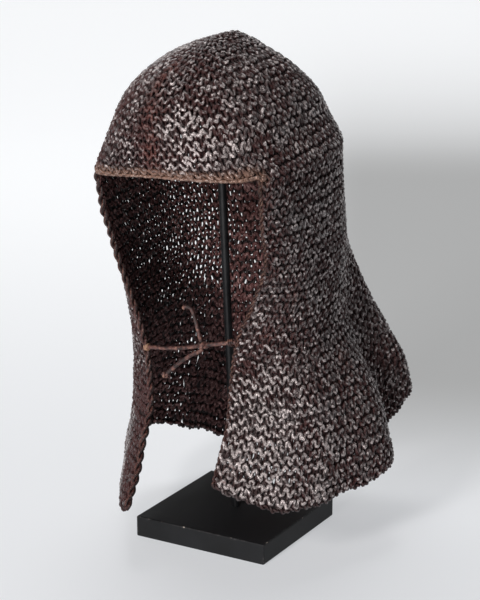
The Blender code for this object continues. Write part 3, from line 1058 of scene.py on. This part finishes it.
class CordTree(Graph):
    """A Geometry Nodes tree that sweeps cord along a guide's edges.

    Its inputs are Cord Radius, Sides, Ply Length, Twist Radius, Twist Length and Finish. With more
    than one strand the strands turn about the guide, as in a twisted edging.
    """

    def __init__(self, name: str, strands: int, fabric_half: float) -> None:
        """Builds the tree.

        Args:
            name: The tree's name.
            strands: How many strands are twisted together.
            fabric_half: Half the fabric's thickness, which relief is measured by.
        """
        super().__init__(bpy.data.node_groups.new(name, "GeometryNodeTree"))
        face = self.tree.interface
        face.new_socket("Geometry", in_out="INPUT", socket_type="NodeSocketGeometry")
        for label, kind in (
            ("Cord Radius", "NodeSocketFloat"),
            ("Sides", "NodeSocketInt"),
            ("Ply Length", "NodeSocketFloat"),
            ("Twist Radius", "NodeSocketFloat"),
            ("Twist Length", "NodeSocketFloat"),
            ("Finish", "NodeSocketMaterial"),
        ):
            face.new_socket(label, in_out="INPUT", socket_type=kind)
        face.new_socket("Geometry", in_out="OUTPUT", socket_type="NodeSocketGeometry")
        self.inlet = self.add("NodeGroupInput").outputs
        curve = self.pass_on("MeshToCurve", Mesh=self.inlet["Geometry"])
        parts = [self.strand(curve, index, strands, fabric_half) for index in range(strands)]
        joined = self.add("GeometryNodeJoinGeometry")
        for part in parts:
            self.feed(joined.inputs[0], part)
        whole = self.pass_on("RealizeInstances", Geometry=self.out(joined))
        dressed = self.pass_on("SetMaterial", Geometry=whole, Material=self.inlet["Finish"])
        self.add("NodeGroupOutput", values={"Geometry": dressed})

    def pass_on(self, kind: str, **values: Any) -> Value:
        """Adds a geometry node.

        Args:
            kind: Its type, without the words that all geometry nodes begin with.
            values: Its inputs by name, with underscores for spaces.

        Returns:
            Its first output.
        """
        inputs = {name.replace("_", " "): value for name, value in values.items()}
        return self.out(self.add("GeometryNode" + kind, values=inputs))

    def named(self, name: str, kind: str) -> Value:
        """An attribute of the guide, by name and data type."""
        node = self.add("GeometryNodeInputNamedAttribute", {"data_type": kind}, {"Name": name})
        return self.out(node, "Attribute")

    def keep(self, geometry: Value, name: str, kind: str, value: Any) -> Value:
        """Stores a named attribute on the points.

        Args:
            geometry: The geometry.
            name: The attribute.
            kind: Its data type.
            value: What it holds.

        Returns:
            The geometry with it.
        """
        node = self.add(
            "GeometryNodeStoreNamedAttribute",
            {"data_type": kind, "domain": "POINT"},
            {"Geometry": geometry, "Name": name, "Value": value},
        )
        return self.out(node)

    def strand(self, curve: Value, index: int, strands: int, fabric_half: float) -> Value:
        """One strand's tube.

        Args:
            curve: The guide curve.
            index: Which strand it is.
            strands: How many there are.
            fabric_half: Half the fabric's thickness.

        Returns:
            The tube's geometry.
        """
        inlet = self.inlet
        length = self.out(self.add("GeometryNodeSplineParameter"), "Length")
        tangent = self.pass_on("InputTangent")
        outward = self.named("outward", "FLOAT_VECTOR")
        sideways = self.vector_math("CROSS_PRODUCT", tangent, outward)
        if strands > 1:
            angle = length / inlet["Twist Length"] * (2.0 * math.pi) + 2.0 * math.pi * index / strands
            lift = self.scaled(outward, angle.math("COSINE") * inlet["Twist Radius"])
            slide = self.scaled(sideways, angle.math("SINE") * inlet["Twist Radius"])
            offset = self.vector_math("ADD", lift, slide)
            curve = self.pass_on("SetPosition", Geometry=curve, Offset=offset)
        turn = length / inlet["Ply Length"] * (2.0 * math.pi)
        curve = self.keep(curve, "spine", "FLOAT_VECTOR", self.pass_on("InputPosition"))
        curve = self.keep(curve, "sideways", "FLOAT_VECTOR", sideways)
        curve = self.keep(curve, "turn_cos", "FLOAT", turn.math("COSINE"))
        curve = self.keep(curve, "turn_sin", "FLOAT", turn.math("SINE"))
        ring = self.add(
            "GeometryNodeCurvePrimitiveCircle",
            {"mode": "RADIUS"},
            {"Resolution": inlet["Sides"], "Radius": inlet["Cord Radius"]},
        )
        tube = self.pass_on("CurveToMesh", Curve=curve, Profile_Curve=self.out(ring), Fill_Caps=True)
        place = self.pass_on("InputPosition")
        arm = self.vector_math("SUBTRACT", place, self.named("spine", "FLOAT_VECTOR"))
        swell = self.scaled(arm, self.named("girth", "FLOAT") - 1.0)
        tube = self.pass_on("SetPosition", Geometry=tube, Offset=swell)
        out, aside = (
            self.vector_math("DOT_PRODUCT", arm, self.named(name, "FLOAT_VECTOR"), output="Value")
            for name in ("outward", "sideways")
        )
        relief = self.named("depth", "FLOAT") + out / fabric_half
        ply = out * self.named("turn_cos", "FLOAT") + aside * self.named("turn_sin", "FLOAT")
        tube = self.keep(tube, "relief", "FLOAT", relief)
        tube = self.keep(tube, "ply", "FLOAT", ply / inlet["Cord Radius"])
        for spare in ("spine", "sideways", "turn_cos", "turn_sin", "outward", "depth", "girth"):
            tube = self.pass_on("RemoveAttribute", Geometry=tube, Name=spare)
        return self.pass_on("SetShadeSmooth", Geometry=tube)


def grow(guide: bpy.types.Object, tree: bpy.types.NodeTree, name: str, **inputs: Any) -> bpy.types.Object:
    """Runs a tree on a guide and keeps the result as a plain mesh.

    Args:
        guide: The guide object, which is removed.
        tree: The Geometry Nodes tree.
        name: The finished piece's name.
        inputs: The tree's inputs by name, with underscores for spaces.

    Returns:
        The finished piece.
    """
    modifier = guide.modifiers.new("cord", "NODES")
    modifier.node_group = tree
    sockets = {item.name: item.identifier for item in tree.interface.items_tree if item.in_out == "INPUT"}
    for label, value in inputs.items():
        modifier[sockets[label.replace("_", " ")]] = value
    seen = guide.evaluated_get(bpy.context.evaluated_depsgraph_get())
    mesh = bpy.data.meshes.new_from_object(seen)
    mesh.name = name
    piece = new_object(name, mesh)
    bare = guide.data
    bpy.data.objects.remove(guide)
    bpy.data.meshes.remove(bare)
    return piece


def report(piece: bpy.types.Object) -> None:
    """Logs a finished piece with its triangles."""
    if piece.type == "MESH":
        piece.data.calc_loop_triangles()
        LOG.info("%s: %d triangles", piece.name, len(piece.data.loop_triangles))
    else:
        LOG.info("%s: %s", piece.name, piece.type.lower())


# Pieces


@dataclass(frozen=True)
class BrowLine:
    """Where the knit ends over the face, in courses from the ridge."""

    corner: float
    left: float = 31.6
    middle: float = 30.5
    right: float = 30.6
    middle_place: float = -0.2  # as a share of the way from the middle to a corner

    def at(self, turn: np.ndarray) -> np.ndarray:
        """The line's height at places round the hood.

        Args:
            turn: The places, 0 in front and growing to +X.

        Returns:
            Courses from the ridge.
        """
        round_way = np.mod(turn + 1.0, 2.0) - 1.0
        places = (-self.corner, self.corner * self.middle_place, self.corner)
        return np.interp(round_way, places, (self.left, self.middle, self.right))


@dataclass
class Knit:
    """The hood's garter knit: one cord looped through itself, course by course."""

    face: HoodFace
    finish: bpy.types.Material
    brow_line: BrowLine
    stitch: float = 9.4 * MM
    cord_radius: float = 1.78 * MM
    sides: int = 6
    samples: int = 10  # of the cord's course for each stitch
    reach: float = 1.15  # of a loop above and below its course, in courses
    brow_gap: float = 0.1  # from the knit's own edge down to the brow line, in courses
    hem_gap: float = 0.25  # and down to the hem
    pinch: float = 0.08  # how far a loop closes at its foot, in stitches
    zigzag: float = 1.60 * MM  # how far a loop's ends lie before and behind the fabric's middle
    middle: float = 3.0 * MM  # depth of the fabric's middle under the outer face
    ply_length: float = 7.0 * MM
    unevenness: float = 0.14  # of a loop's height and place, in courses
    skew: float = 0.13  # how far a loop's head may lean aside, in stitches
    course_height: float = 4.9 * MM  # at which the cord has its usual thickness
    bend_girth: float = 1.10  # of the cord at a loop's head and foot, as a share of its radius
    leg_girth: float = 0.80  # and between them
    thin_place: float = 1.58  # middle of the slack part of the wall, where light comes through
    thin_half: float = 0.42  # half its breadth
    thin_course: float = 52.0  # its middle course
    thin_courses: float = 32.0  # half its height
    thin_loss: float = 0.38  # how much thinner the cord is there
    sway: float = 0.15  # how far the last courses wander along the hem, in courses
    crease_half: float = 0.30  # half the crease up the forehead, as a share of half the brow
    crease_worn: float = 0.62
    rim_reach: float = 1.25  # how far the tan edge runs past a corner, as a share of half the brow
    rim_courses: float = 4.2  # how far up and down it fades out
    rim_tan: float = 0.85
    blocks: int = 5  # stretches of a side in each of which stitches are added by themselves
    seed: int = 7
    names: tuple[str, ...] = (
        "knit_crown_top",
        "knit_crown",
        "knit_neck",
        "knit_shoulder",
        "knit_cape",
        "knit_hem",
    )
    shares: tuple[float, ...] = (0.0, 0.24, 0.40, 0.57, 0.72, 0.86, 1.0)

    def borders(self, closed: bool) -> np.ndarray:
        """Where stitches may be added, as places round the hood.

        Args:
            closed: Whether the course runs round the whole head.

        Returns:
            The borders in order.
        """
        corner = self.face.corner
        side = corner + (1.0 - corner) * np.linspace(0.0, 1.0, self.blocks + 1)
        if closed:
            side = np.concatenate(([0.0, corner / 2.0], side))
        return np.concatenate((side, 2.0 - side[-2::-1]))

    def phases(self, course: float, closed: bool) -> tuple[np.ndarray, np.ndarray]:
        """How stitches are spread along a course.

        Args:
            course: The course's place.
            closed: Whether it runs round the whole head.

        Returns:
            Places round the hood, and the stitch count up to each.
        """
        borders = self.borders(closed)
        turns, counts = [np.array([borders[0]])], [np.array([0.0])]
        for start, end in zip(borders, borders[1:]):
            turn = np.linspace(start, end, 25)
            run = run_along(self.face.sample(turn, np.full_like(turn, course))[0])
            real = run[-1] / self.stitch
            whole = max(1, round(real))
            share = run / run[-1]
            count = real * share + (whole - real) * share**4
            turns.append(turn[1:])
            counts.append(counts[-1][-1] + count[1:])
        return np.concatenate(turns), np.concatenate(counts)

    def course(self, index: int, strands: Strands) -> int:
        """Adds one course of loops.

        Args:
            index: Which course, from the ridge.
            strands: Where it goes.

        Returns:
            How many stitches it has.
        """
        closed = index < self.face.crown_courses
        centre = index + 0.5
        turns, counts = self.phases(centre, closed)
        stitches = int(round(counts[-1]))
        tau = np.arange(stitches * self.samples + (0 if closed else 1)) / self.samples
        rng = np.random.default_rng(self.seed + index)

        def uneven(scale: float) -> np.ndarray:
            """A smooth random value along the course.

            Args:
                scale: How far it strays.

            Returns:
                Its value at each sample.
            """
            knots = rng.normal(0.0, scale, 2 * stitches + 1)
            knots[-1] = knots[0]
            return np.interp(tau, np.arange(2 * stitches + 1) / 2.0, knots)

        angle = 2.0 * math.pi * tau
        lean = uneven(self.skew) * np.cos(angle)
        along_course = tau + self.pinch * np.sin(2.0 * angle) + lean + uneven(self.unevenness * 0.4)
        if closed:
            round_turn = np.interp(np.mod(along_course, stitches), counts, turns)
        else:
            round_turn = np.interp(along_course, counts, turns)
        reach = self.reach * np.cos(angle) * (1.0 + uneven(self.unevenness))
        down = centre - reach + uneven(self.unevenness)
        way = -1.0 if index % 2 == 0 else 1.0
        depth = way * self.zigzag * np.cos(angle) + uneven(self.unevenness * MM)
        if closed:
            past = np.mod(round_turn, 2.0)
            over_face = np.minimum(past, 2.0 - past) < self.face.corner
            limit = self.brow_line.at(round_turn) - self.brow_gap
            down = np.where(over_face, np.minimum(down, limit), down)
        hem = self.face.courses - self.hem_gap + self.sway * np.sin(angle * 0.37)
        down = np.minimum(down, hem)
        points, normals = self.face.sample(round_turn, down)
        strands.add(
            points + normals * (depth - self.middle)[:, None],
            normals,
            closed,
            depth=depth / self.middle,
            girth=self.girth(round_turn, down, np.cos(angle)),
            worn=self.crease(round_turn, down),
            tan=self.rim(round_turn, down),
        )
        return stitches

    def girth(self, turn: np.ndarray, course: np.ndarray, head: np.ndarray) -> np.ndarray:
        """How thick the cord is, as a share of its usual thickness.

        Args:
            turn: Places round the hood.
            course: Places down it.
            head: 1 at a loop's head, -1 at its foot, 0 on its legs.

        Returns:
            The shares. Bends bulge, and where courses lie far apart the cord is fuller.
        """
        above, below = (self.face.sample(turn, np.abs(course + step))[0] for step in (-0.5, 0.5))
        spacing = np.linalg.norm(below - above, axis=-1)
        fuller = np.clip(spacing / self.course_height, 0.9, 1.35)
        bulge = self.leg_girth + (self.bend_girth - self.leg_girth) * np.abs(head)
        past = np.mod(turn, 2.0)
        thin = np.clip(1.0 - np.abs(past - self.thin_place) / self.thin_half, 0.0, 1.0)
        level = np.clip(1.0 - np.abs(course - self.thin_course) / self.thin_courses, 0.0, 1.0)
        return fuller * bulge * (1.0 - self.thin_loss * np.sqrt(thin * level))

    def crease(self, turn: np.ndarray, course: np.ndarray) -> np.ndarray:
        """How worn the paint is along the crease up the middle of the forehead.

        Args:
            turn: Places round the hood.
            course: Places down it.

        Returns:
            Values from 0 to 1.
        """
        near = 1.0 - np.minimum(turn, 2.0 - turn) / (self.face.corner * self.crease_half)
        above = course < self.face.crown_courses
        return np.clip(near * 1.2, 0.0, 1.0) * above * self.crease_worn

    def rim(self, turn: np.ndarray, course: np.ndarray) -> np.ndarray:
        """How tan the knit is by the brow's edge.

        Args:
            turn: Places round the hood.
            course: Places down it.

        Returns:
            Values from 0 to 1.
        """
        place = np.minimum(turn, 2.0 - turn) / self.face.corner
        beside = np.clip((self.rim_reach - place) / (self.rim_reach - 1.0), 0.0, 1.0)
        up = np.abs(self.brow_line.at(turn) - course)
        return np.clip(1.05 - up / self.rim_courses, 0.0, 1.0) * beside * self.rim_tan

    def build(self) -> list[bpy.types.Object]:
        """Knits the hood.

        Returns:
            The pieces, from the crown down.
        """
        total = self.face.courses
        edges = [round(share * total) for share in self.shares]
        tree = CordTree("garter_cord", 1, self.middle).tree
        pieces = []
        for name, first, last in zip(self.names, edges, edges[1:]):
            strands = Strands()
            count = sum(self.course(index, strands) for index in range(first, last))
            LOG.info("%s: courses %d to %d, %d stitches", name, first, last, count)
            piece = grow(
                strands.guide(name + "_guide"),
                tree,
                name,
                Cord_Radius=self.cord_radius,
                Sides=self.sides,
                Ply_Length=self.ply_length,
                Twist_Radius=0.0,
                Twist_Length=1.0,
                Finish=self.finish,
            )
            pieces.append(piece)
        return pieces


@dataclass(frozen=True)
class Bound:
    """One bound edge: how thick its strands are, how fast they twist and how they are coloured."""

    name: str
    radius: float
    twist_length: float
    tan: tuple[float, ...]  # from its start to its end
    worn: float


@dataclass
class Edging:
    """Twisted cord along the face opening's two edges, the hem and the brow."""

    face: HoodFace
    finish: bpy.types.Material
    brow_line: BrowLine
    right: Bound = Bound("edging_right", 1.25 * MM, 13.0 * MM, (0.45, 0.40, 0.30), 0.60)
    left: Bound = Bound("edging_left", 2.10 * MM, 24.0 * MM, (0.38, 0.32, 0.30), 0.50)
    hem: Bound = Bound("edging_hem", 1.55 * MM, 11.0 * MM, (0.15, 0.10, 0.15), 0.25)
    brow: Bound = Bound("edging_brow", 1.15 * MM, 9.0 * MM, (0.50, 0.60, 0.40), 0.60)
    step: float = 1.2 * MM
    depth: float = 3.0 * MM
    ply_length: float = 9.0 * MM
    twist_share: float = 0.92  # from a cord's middle to a strand's, as a share of the strand's radius
    swell: float = 0.10
    ripple: float = 0.22  # of the hem, in courses
    sides: int = 6
    edge_samples: int = 300
    brow_samples: int = 120
    hem_samples: int = 600

    def line(self, turn: np.ndarray, course: np.ndarray) -> tuple[np.ndarray, np.ndarray]:
        """A line in the middle of the fabric, evenly stepped.

        Args:
            turn: Places round the hood.
            course: Places down it.

        Returns:
            Points and normals.
        """
        points, normals = self.face.sample(turn, course)
        middle = points - normals * self.depth
        run = run_along(middle)
        count = int(run[-1] / self.step)
        shares = np.linspace(0.0, 1.0, count)
        return read_along(run, middle, shares), unit(read_along(run, normals, shares))

    def cord(self, bound: Bound, turn: np.ndarray, course: np.ndarray) -> bpy.types.Object:
        """One edge's two-strand cord.

        Args:
            bound: Which edge.
            turn: Places round the hood.
            course: Places down it.

        Returns:
            The piece.
        """
        points, normals = self.line(turn, course)
        count = len(points)
        share = np.linspace(0.0, 1.0, count)
        strands = Strands()
        strands.add(
            points,
            normals,
            False,
            depth=np.zeros(count),
            girth=1.0 + self.swell * np.sin(share * count * 0.21) * np.sin(share * count * 0.047),
            worn=np.full(count, bound.worn),
            tan=np.interp(share, np.linspace(0.0, 1.0, len(bound.tan)), bound.tan),
        )
        return grow(
            strands.guide(bound.name + "_guide"),
            CordTree(bound.name, 2, self.depth).tree,
            bound.name,
            Cord_Radius=bound.radius,
            Sides=self.sides,
            Ply_Length=self.ply_length,
            Twist_Radius=bound.radius * self.twist_share,
            Twist_Length=bound.twist_length,
            Finish=self.finish,
        )

    def build(self) -> list[bpy.types.Object]:
        """Makes the edging.

        Returns:
            The pieces.
        """
        corner = self.face.corner
        courses = self.face.courses
        down = np.linspace(self.face.crown_courses - 1.2, courses + 0.3, self.edge_samples)
        edge = np.full(self.edge_samples, corner)
        brow = np.linspace(corner, -corner, self.brow_samples)
        hem = np.linspace(corner, 2.0 - corner, self.hem_samples)
        waves = sum(np.sin(np.linspace(0.0, end, self.hem_samples)) for end in (420.0, 97.0))
        return [
            self.cord(self.right, edge, down),
            self.cord(self.left, 2.0 - edge, down),
            self.cord(self.hem, hem, courses + self.ripple * waves),
            self.cord(self.brow, brow, self.brow_line.at(brow)),
        ]


# The lace: the points that each of its stretches passes

KNOT_CENTRE = (0.0201, -0.0980, 0.2265)
LEFT_ROUTE = (
    (-0.0486, -0.0920, 0.2127),
    (-0.0411, -0.0935, 0.2139),
    (-0.0248, -0.0955, 0.2162),
    (-0.0066, -0.0970, 0.2195),
    (0.0077, -0.0980, 0.2231),
    (0.0150, -0.0980, 0.2251),
)
LOWER_ROUTE = (
    (0.0215, -0.1005, 0.2235),
    (0.0168, -0.1018, 0.2202),
    (0.0116, -0.1020, 0.2180),
    (0.0044, -0.1020, 0.2129),
    (-0.0030, -0.1030, 0.2071),
    (-0.0111, -0.1040, 0.1995),
    (-0.0170, -0.1048, 0.1943),
)
RIGHT_ROUTE = (
    (0.0540, -0.0933, 0.2336),
    (0.0460, -0.0945, 0.2321),
    (0.0357, -0.0960, 0.2299),
    (0.0252, -0.0974, 0.2279),
)
UPPER_ROUTE = (
    (0.0190, -0.0962, 0.2262),
    (0.0158, -0.0962, 0.2330),
    (0.0126, -0.0960, 0.2433),
    (0.0066, -0.0935, 0.2555),
    (0.0033, -0.0925, 0.2600),
    (-0.0018, -0.0922, 0.2612),
    (-0.0053, -0.0925, 0.2589),
)


def flowing(route: Sequence[Point], count: int) -> np.ndarray:
    """Even points on a smooth curve through a route.

    Args:
        route: The points it passes.
        count: How many points to give back.

    Returns:
        The points.
    """
    knots = np.array(route)
    padded = np.vstack((2 * knots[0] - knots[1], knots, 2 * knots[-1] - knots[-2]))
    t = np.linspace(0.0, 1.0, 12, endpoint=False)[:, None]
    parts = []
    for before, start, end, after in zip(padded, padded[1:], padded[2:], padded[3:]):
        parts.append(
            start
            + (end - before) * 0.5 * t
            + (before * 2 - start * 5 + end * 4 - after) * 0.5 * t**2
            + (start * 3 - before - end * 3 + after) * 0.5 * t**3
        )
    line = np.vstack((*parts, knots[-1:]))
    return along(line, np.linspace(0.0, 1.0, count))


def bevelled(name: str, line: np.ndarray, radius: float, closed: bool, rounds: int) -> bpy.types.Curve:
    """A curve with a round bevel.

    Args:
        name: Its name.
        line: The points of its middle line.
        radius: Its radius.
        closed: Whether its end joins its start.
        rounds: How finely it is rounded.

    Returns:
        The curve.
    """
    curve = bpy.data.curves.new(name, "CURVE")
    curve.dimensions = "3D"
    curve.bevel_depth = radius
    curve.bevel_resolution = rounds
    curve.use_fill_caps = not closed
    spline = curve.splines.new("POLY")
    spline.points.add(len(line) - 1)
    for target, point in zip(spline.points, line):
        target.co = (*point, 1.0)
    spline.use_cyclic_u = closed
    return curve


@dataclass
class Lace:
    """The lace across the opening: two lengths through one knot."""

    finish: bpy.types.Material
    pale_finish: bpy.types.Material
    diameter: float = 4.0 * MM
    points: int = 24
    knot_axis: Point = (0.97, 0.12, 0.22)
    knot_length: float = 11.5 * MM
    knot_radius: float = 1.9 * MM
    tip_length: float = 8.5 * MM
    tip_radius: float = 1.6 * MM
    tip_ahead: float = 2.5 * MM  # from the lower end to the middle of its knot
    wrap_radius: float = 0.9 * MM
    wrap_inner: float = 2.2 * MM
    wrap_turns: float = 2.5
    left_wrap: tuple[Point, Point] = ((-0.0475, -0.0922, 0.2129), (0.97, -0.19, 0.15))  # place, way
    right_wrap: tuple[Point, Point] = ((0.0485, -0.0941, 0.2326), (0.98, 0.14, 0.18))

    def length(self, name: str, route: Sequence[Point]) -> bpy.types.Object:
        """One length of lace, as a bevelled curve.

        Args:
            name: Its name.
            route: The points it passes.

        Returns:
            The curve object.
        """
        curve = bevelled(name, flowing(route, self.points), self.diameter / 2.0, False, 4)
        curve.materials.append(self.finish)
        return new_object(name, curve)

    def tube(
        self, name: str, line: np.ndarray, radius: float, closed: bool, finish: bpy.types.Material
    ) -> bpy.types.Object:
        """A short tube as a mesh.

        Args:
            name: Its name.
            line: Its middle line.
            radius: Its radius.
            closed: Whether its end joins its start.
            finish: Its material.

        Returns:
            The mesh object.
        """
        source = new_object(name + "_line", bevelled(name, line, radius, closed, 3))
        seen = source.evaluated_get(bpy.context.evaluated_depsgraph_get())
        mesh = bpy.data.meshes.new_from_object(seen)
        mesh.name = name
        mesh.materials.clear()
        mesh.materials.append(finish)
        mesh.shade_smooth()
        bpy.data.objects.remove(source)
        return new_object(name, mesh)

    def set_out(self, line: np.ndarray, axis: Sequence[float], centre: Sequence[float]) -> np.ndarray:
        """A line made along X, turned to an axis and moved.

        Args:
            line: Its points.
            axis: Where its X is to point.
            centre: Where its origin goes.

        Returns:
            The points.
        """
        turn = Vector((1.0, 0.0, 0.0)).rotation_difference(Vector(axis)).to_matrix()
        return line @ np.array(turn).T + np.array(centre)

    def knot(
        self, name: str, centre: Sequence[float], axis: Sequence[float], size: float, radius: float
    ) -> bpy.types.Object:
        """An overhand knot pulled tight.

        Args:
            name: Its name.
            centre: Its middle.
            axis: The way it is drawn out.
            size: How long it is.
            radius: The lace's radius in it.

        Returns:
            The mesh object.
        """
        t = np.linspace(0.0, 2.0 * math.pi, 60, endpoint=False)
        loop = (np.sin(t) + 2 * np.sin(2 * t), np.cos(t) - 2 * np.cos(2 * t), -1.6 * np.sin(3 * t))
        spread = (size / 2.0 - radius) / 3.0
        line = self.set_out(np.column_stack(loop) * spread, axis, centre)
        return self.tube(name, line, radius, True, self.finish)

    def wraps(self, name: str, place: tuple[Point, Point], finish: bpy.types.Material) -> bpy.types.Object:
        """Turns of lace round the edge that it passes through.

        Args:
            name: Its name.
            place: Its middle, and the way the turns advance.
            finish: Its material.

        Returns:
            The mesh object.
        """
        centre, axis = place
        t = np.linspace(0.0, self.wrap_turns * 2.0 * math.pi, 50)
        advance = (t / t[-1] - 0.5) * 5.5 * self.wrap_radius
        out = self.wrap_inner + self.wrap_radius * 0.8
        coil = np.column_stack((advance, np.cos(t) * out, np.sin(t) * out))
        return self.tube(name, self.set_out(coil, axis, centre), self.wrap_radius, False, finish)

    def build(self) -> list[bpy.types.Object]:
        """Makes the lace with its two lengths.

        Returns:
            The pieces.
        """
        left = self.length("lace_left_length", LEFT_ROUTE + LOWER_ROUTE)
        right = self.length("lace_right_length", RIGHT_ROUTE + UPPER_ROUTE)
        tie = self.knot("lace_knot", KNOT_CENTRE, self.knot_axis, self.knot_length, self.knot_radius)
        before, end = np.array(LOWER_ROUTE[-2:])
        way = unit(end - before)
        middle = end + way * self.tip_ahead
        tip = self.knot("lace_tip_knot", middle, way, self.tip_length, self.tip_radius)
        left_wrap = self.wraps("lace_left_wrap", self.left_wrap, self.pale_finish)
        right_wrap = self.wraps("lace_right_wrap", self.right_wrap, self.finish)
        pieces = [left, right, tie, tip, left_wrap, right_wrap]
        for piece in pieces:
            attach(piece, BODY)
        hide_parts("lace_left", "lace_lower_end")
        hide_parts("lace_right", "lace_upper_end")
        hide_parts("tie_knot")
        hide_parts("tip_knot")
        return pieces


@dataclass(frozen=True)
class Stand:
    """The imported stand's nodes, which keep their shapes and get their finishes."""

    block: Colour = (0.006, 0.005, 0.005)
    block_light: Colour = (0.012, 0.010, 0.010)

    def dress(self, nodes: dict[str, bpy.types.Object]) -> list[bpy.types.Object]:
        """Gives each node its finish.

        Args:
            nodes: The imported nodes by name.

        Returns:
            The nodes.
        """
        _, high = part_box("stand_plate")
        finishes = {
            "stand_plate": ChippedPlate(half_side=high.x, top=high.z).material(),
            "stand_post": BlackCoat("post_enamel").material(),
            "crown_rest": BlackCoat("rest_block", self.block, self.block_light, 0.8).material(),
        }
        for name, material in finishes.items():
            for slot in nodes[name].material_slots:
                slot.material = material
        return [nodes[name] for name in finishes]


@dataclass(frozen=True)
class Lamp:
    """A soft square lamp: where it stands and what it faces, its side, watts and colour."""

    name: str
    place: Point
    aim: Point
    size: float
    power: float
    colour: Colour = (1.0, 1.0, 1.0)

    def build(self) -> None:
        """Sets the lamp up."""
        data = bpy.data.lights.new(self.name, "AREA")
        data.shape = "SQUARE"
        data.size = self.size
        data.energy = self.power
        data.color = self.colour
        turn = (Vector(self.aim) - Vector(self.place)).to_track_quat("-Z", "Y").to_matrix()
        new_object(self.name, data).matrix_world = Matrix.Translation(self.place) @ turn.to_4x4()


@dataclass
class Studio:
    """Camera, light and floor."""

    place: Point = (0.914, -1.575, 0.769)
    azimuth: float = 30.0
    pitch: float = 16.06
    focal_pixels: float = 1879.0
    frame_pixels: float = 600.0
    sensor: float = 36.0
    wall_away: float = 3.2
    wall_height: float = 4.0
    bend: float = 1.2
    paper_near: float = 3.5
    paper_half: float = 5.0
    world_colour: Colour = (0.90, 0.92, 0.95)
    world_strength: float = 0.05
    lamps: tuple[Lamp, ...] = (
        Lamp("key", (0.0, -2.10, 1.25), (0.0, 0.0, 0.27), 0.40, 30.0, (1.0, 0.98, 0.97)),
        Lamp("low", (0.15, -2.25, 0.35), (0.08, 0.0, 0.12), 0.30, 18.0, (1.0, 0.97, 0.95)),
        Lamp("top", (-0.3, 0.2, 2.1), (0.0, 0.0, 0.27), 0.8, 10.0),
        Lamp("paper_light", (-0.6, 1.0, 2.6), (-1.0, 1.8, 0.0), 1.5, 8.0),
    )

    def camera(self) -> None:
        """Sets the camera at the photograph's viewing angle."""
        data = bpy.data.cameras.new("camera")
        data.sensor_fit = "VERTICAL"
        data.sensor_height = self.sensor
        data.lens = self.focal_pixels / self.frame_pixels * self.sensor
        data.clip_start = 0.05
        data.clip_end = 50.0
        camera = new_object("camera", data)
        turn = Matrix.Rotation(math.radians(self.azimuth), 4, "Z")
        tilt = Matrix.Rotation(math.radians(90.0 - self.pitch), 4, "X")
        camera.matrix_world = Matrix.Translation(self.place) @ turn @ tilt
        bpy.context.scene.camera = camera

    def sweep(self) -> bpy.types.Object:
        """The paper: a floor that bends up into a wall behind the hood, as the camera sees it.

        Returns:
            The paper.
        """
        turn = np.linspace(0.0, math.pi / 2.0, 17)
        bend_out = self.wall_away - self.bend + self.bend * np.sin(turn)
        bend_up = self.bend - self.bend * np.cos(turn)
        out = np.concatenate(([-self.paper_near], bend_out, [self.wall_away]))
        up = np.concatenate(([0.0], bend_up, [self.wall_height]))
        ahead = (-math.sin(math.radians(self.azimuth)), math.cos(math.radians(self.azimuth)))
        beside = (ahead[1], -ahead[0])
        points = [
            (ahead[0] * far + beside[0] * side, ahead[1] * far + beside[1] * side, high)
            for far, high in zip(out, up)
            for side in (-self.paper_half, self.paper_half)
        ]
        faces = [(2 * row, 2 * row + 1, 2 * row + 3, 2 * row + 2) for row in range(len(out) - 1)]
        mesh = bpy.data.meshes.new("paper_sweep")
        mesh.from_pydata(points, [], faces)
        mesh.shade_smooth()
        mesh.materials.append(PalePaper(ahead).material())
        return new_object("paper_sweep", mesh)

    def build(self) -> None:
        """Sets the studio up."""
        self.camera()
        for lamp in self.lamps:
            lamp.build()
        world = bpy.data.worlds.new("studio")
        world.use_nodes = True
        backdrop = world.node_tree.nodes["Background"]
        backdrop.inputs["Color"].default_value = (*self.world_colour, 1.0)
        backdrop.inputs["Strength"].default_value = self.world_strength
        bpy.context.scene.world = world
        self.sweep()
        bpy.context.scene.view_settings.view_transform = "Standard"


def main() -> None:
    """Builds the scene, piece by piece."""
    logging.basicConfig(level=logging.INFO, format="%(message)s")
    Studio().build()
    leather = LaceLeather()
    pale_leather = LaceLeather("pale_lace", (0.33, 0.19, 0.12), (0.12, 0.06, 0.04))
    for piece in Lace(leather.material(), pale_leather.material()).build():
        report(piece)
    for node in Stand().dress(frame["nodes"]):
        report(node)
    face = HoodFace()
    cord = PaintedCord().material()
    brow_line = BrowLine(face.corner)
    knit = Knit(face, cord, brow_line).build() + Edging(face, cord, brow_line).build()
    for piece in knit:
        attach(piece, BODY)
        report(piece)
    for piece in knit:
        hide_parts("hood")


if __name__ == "__main__":
    main()
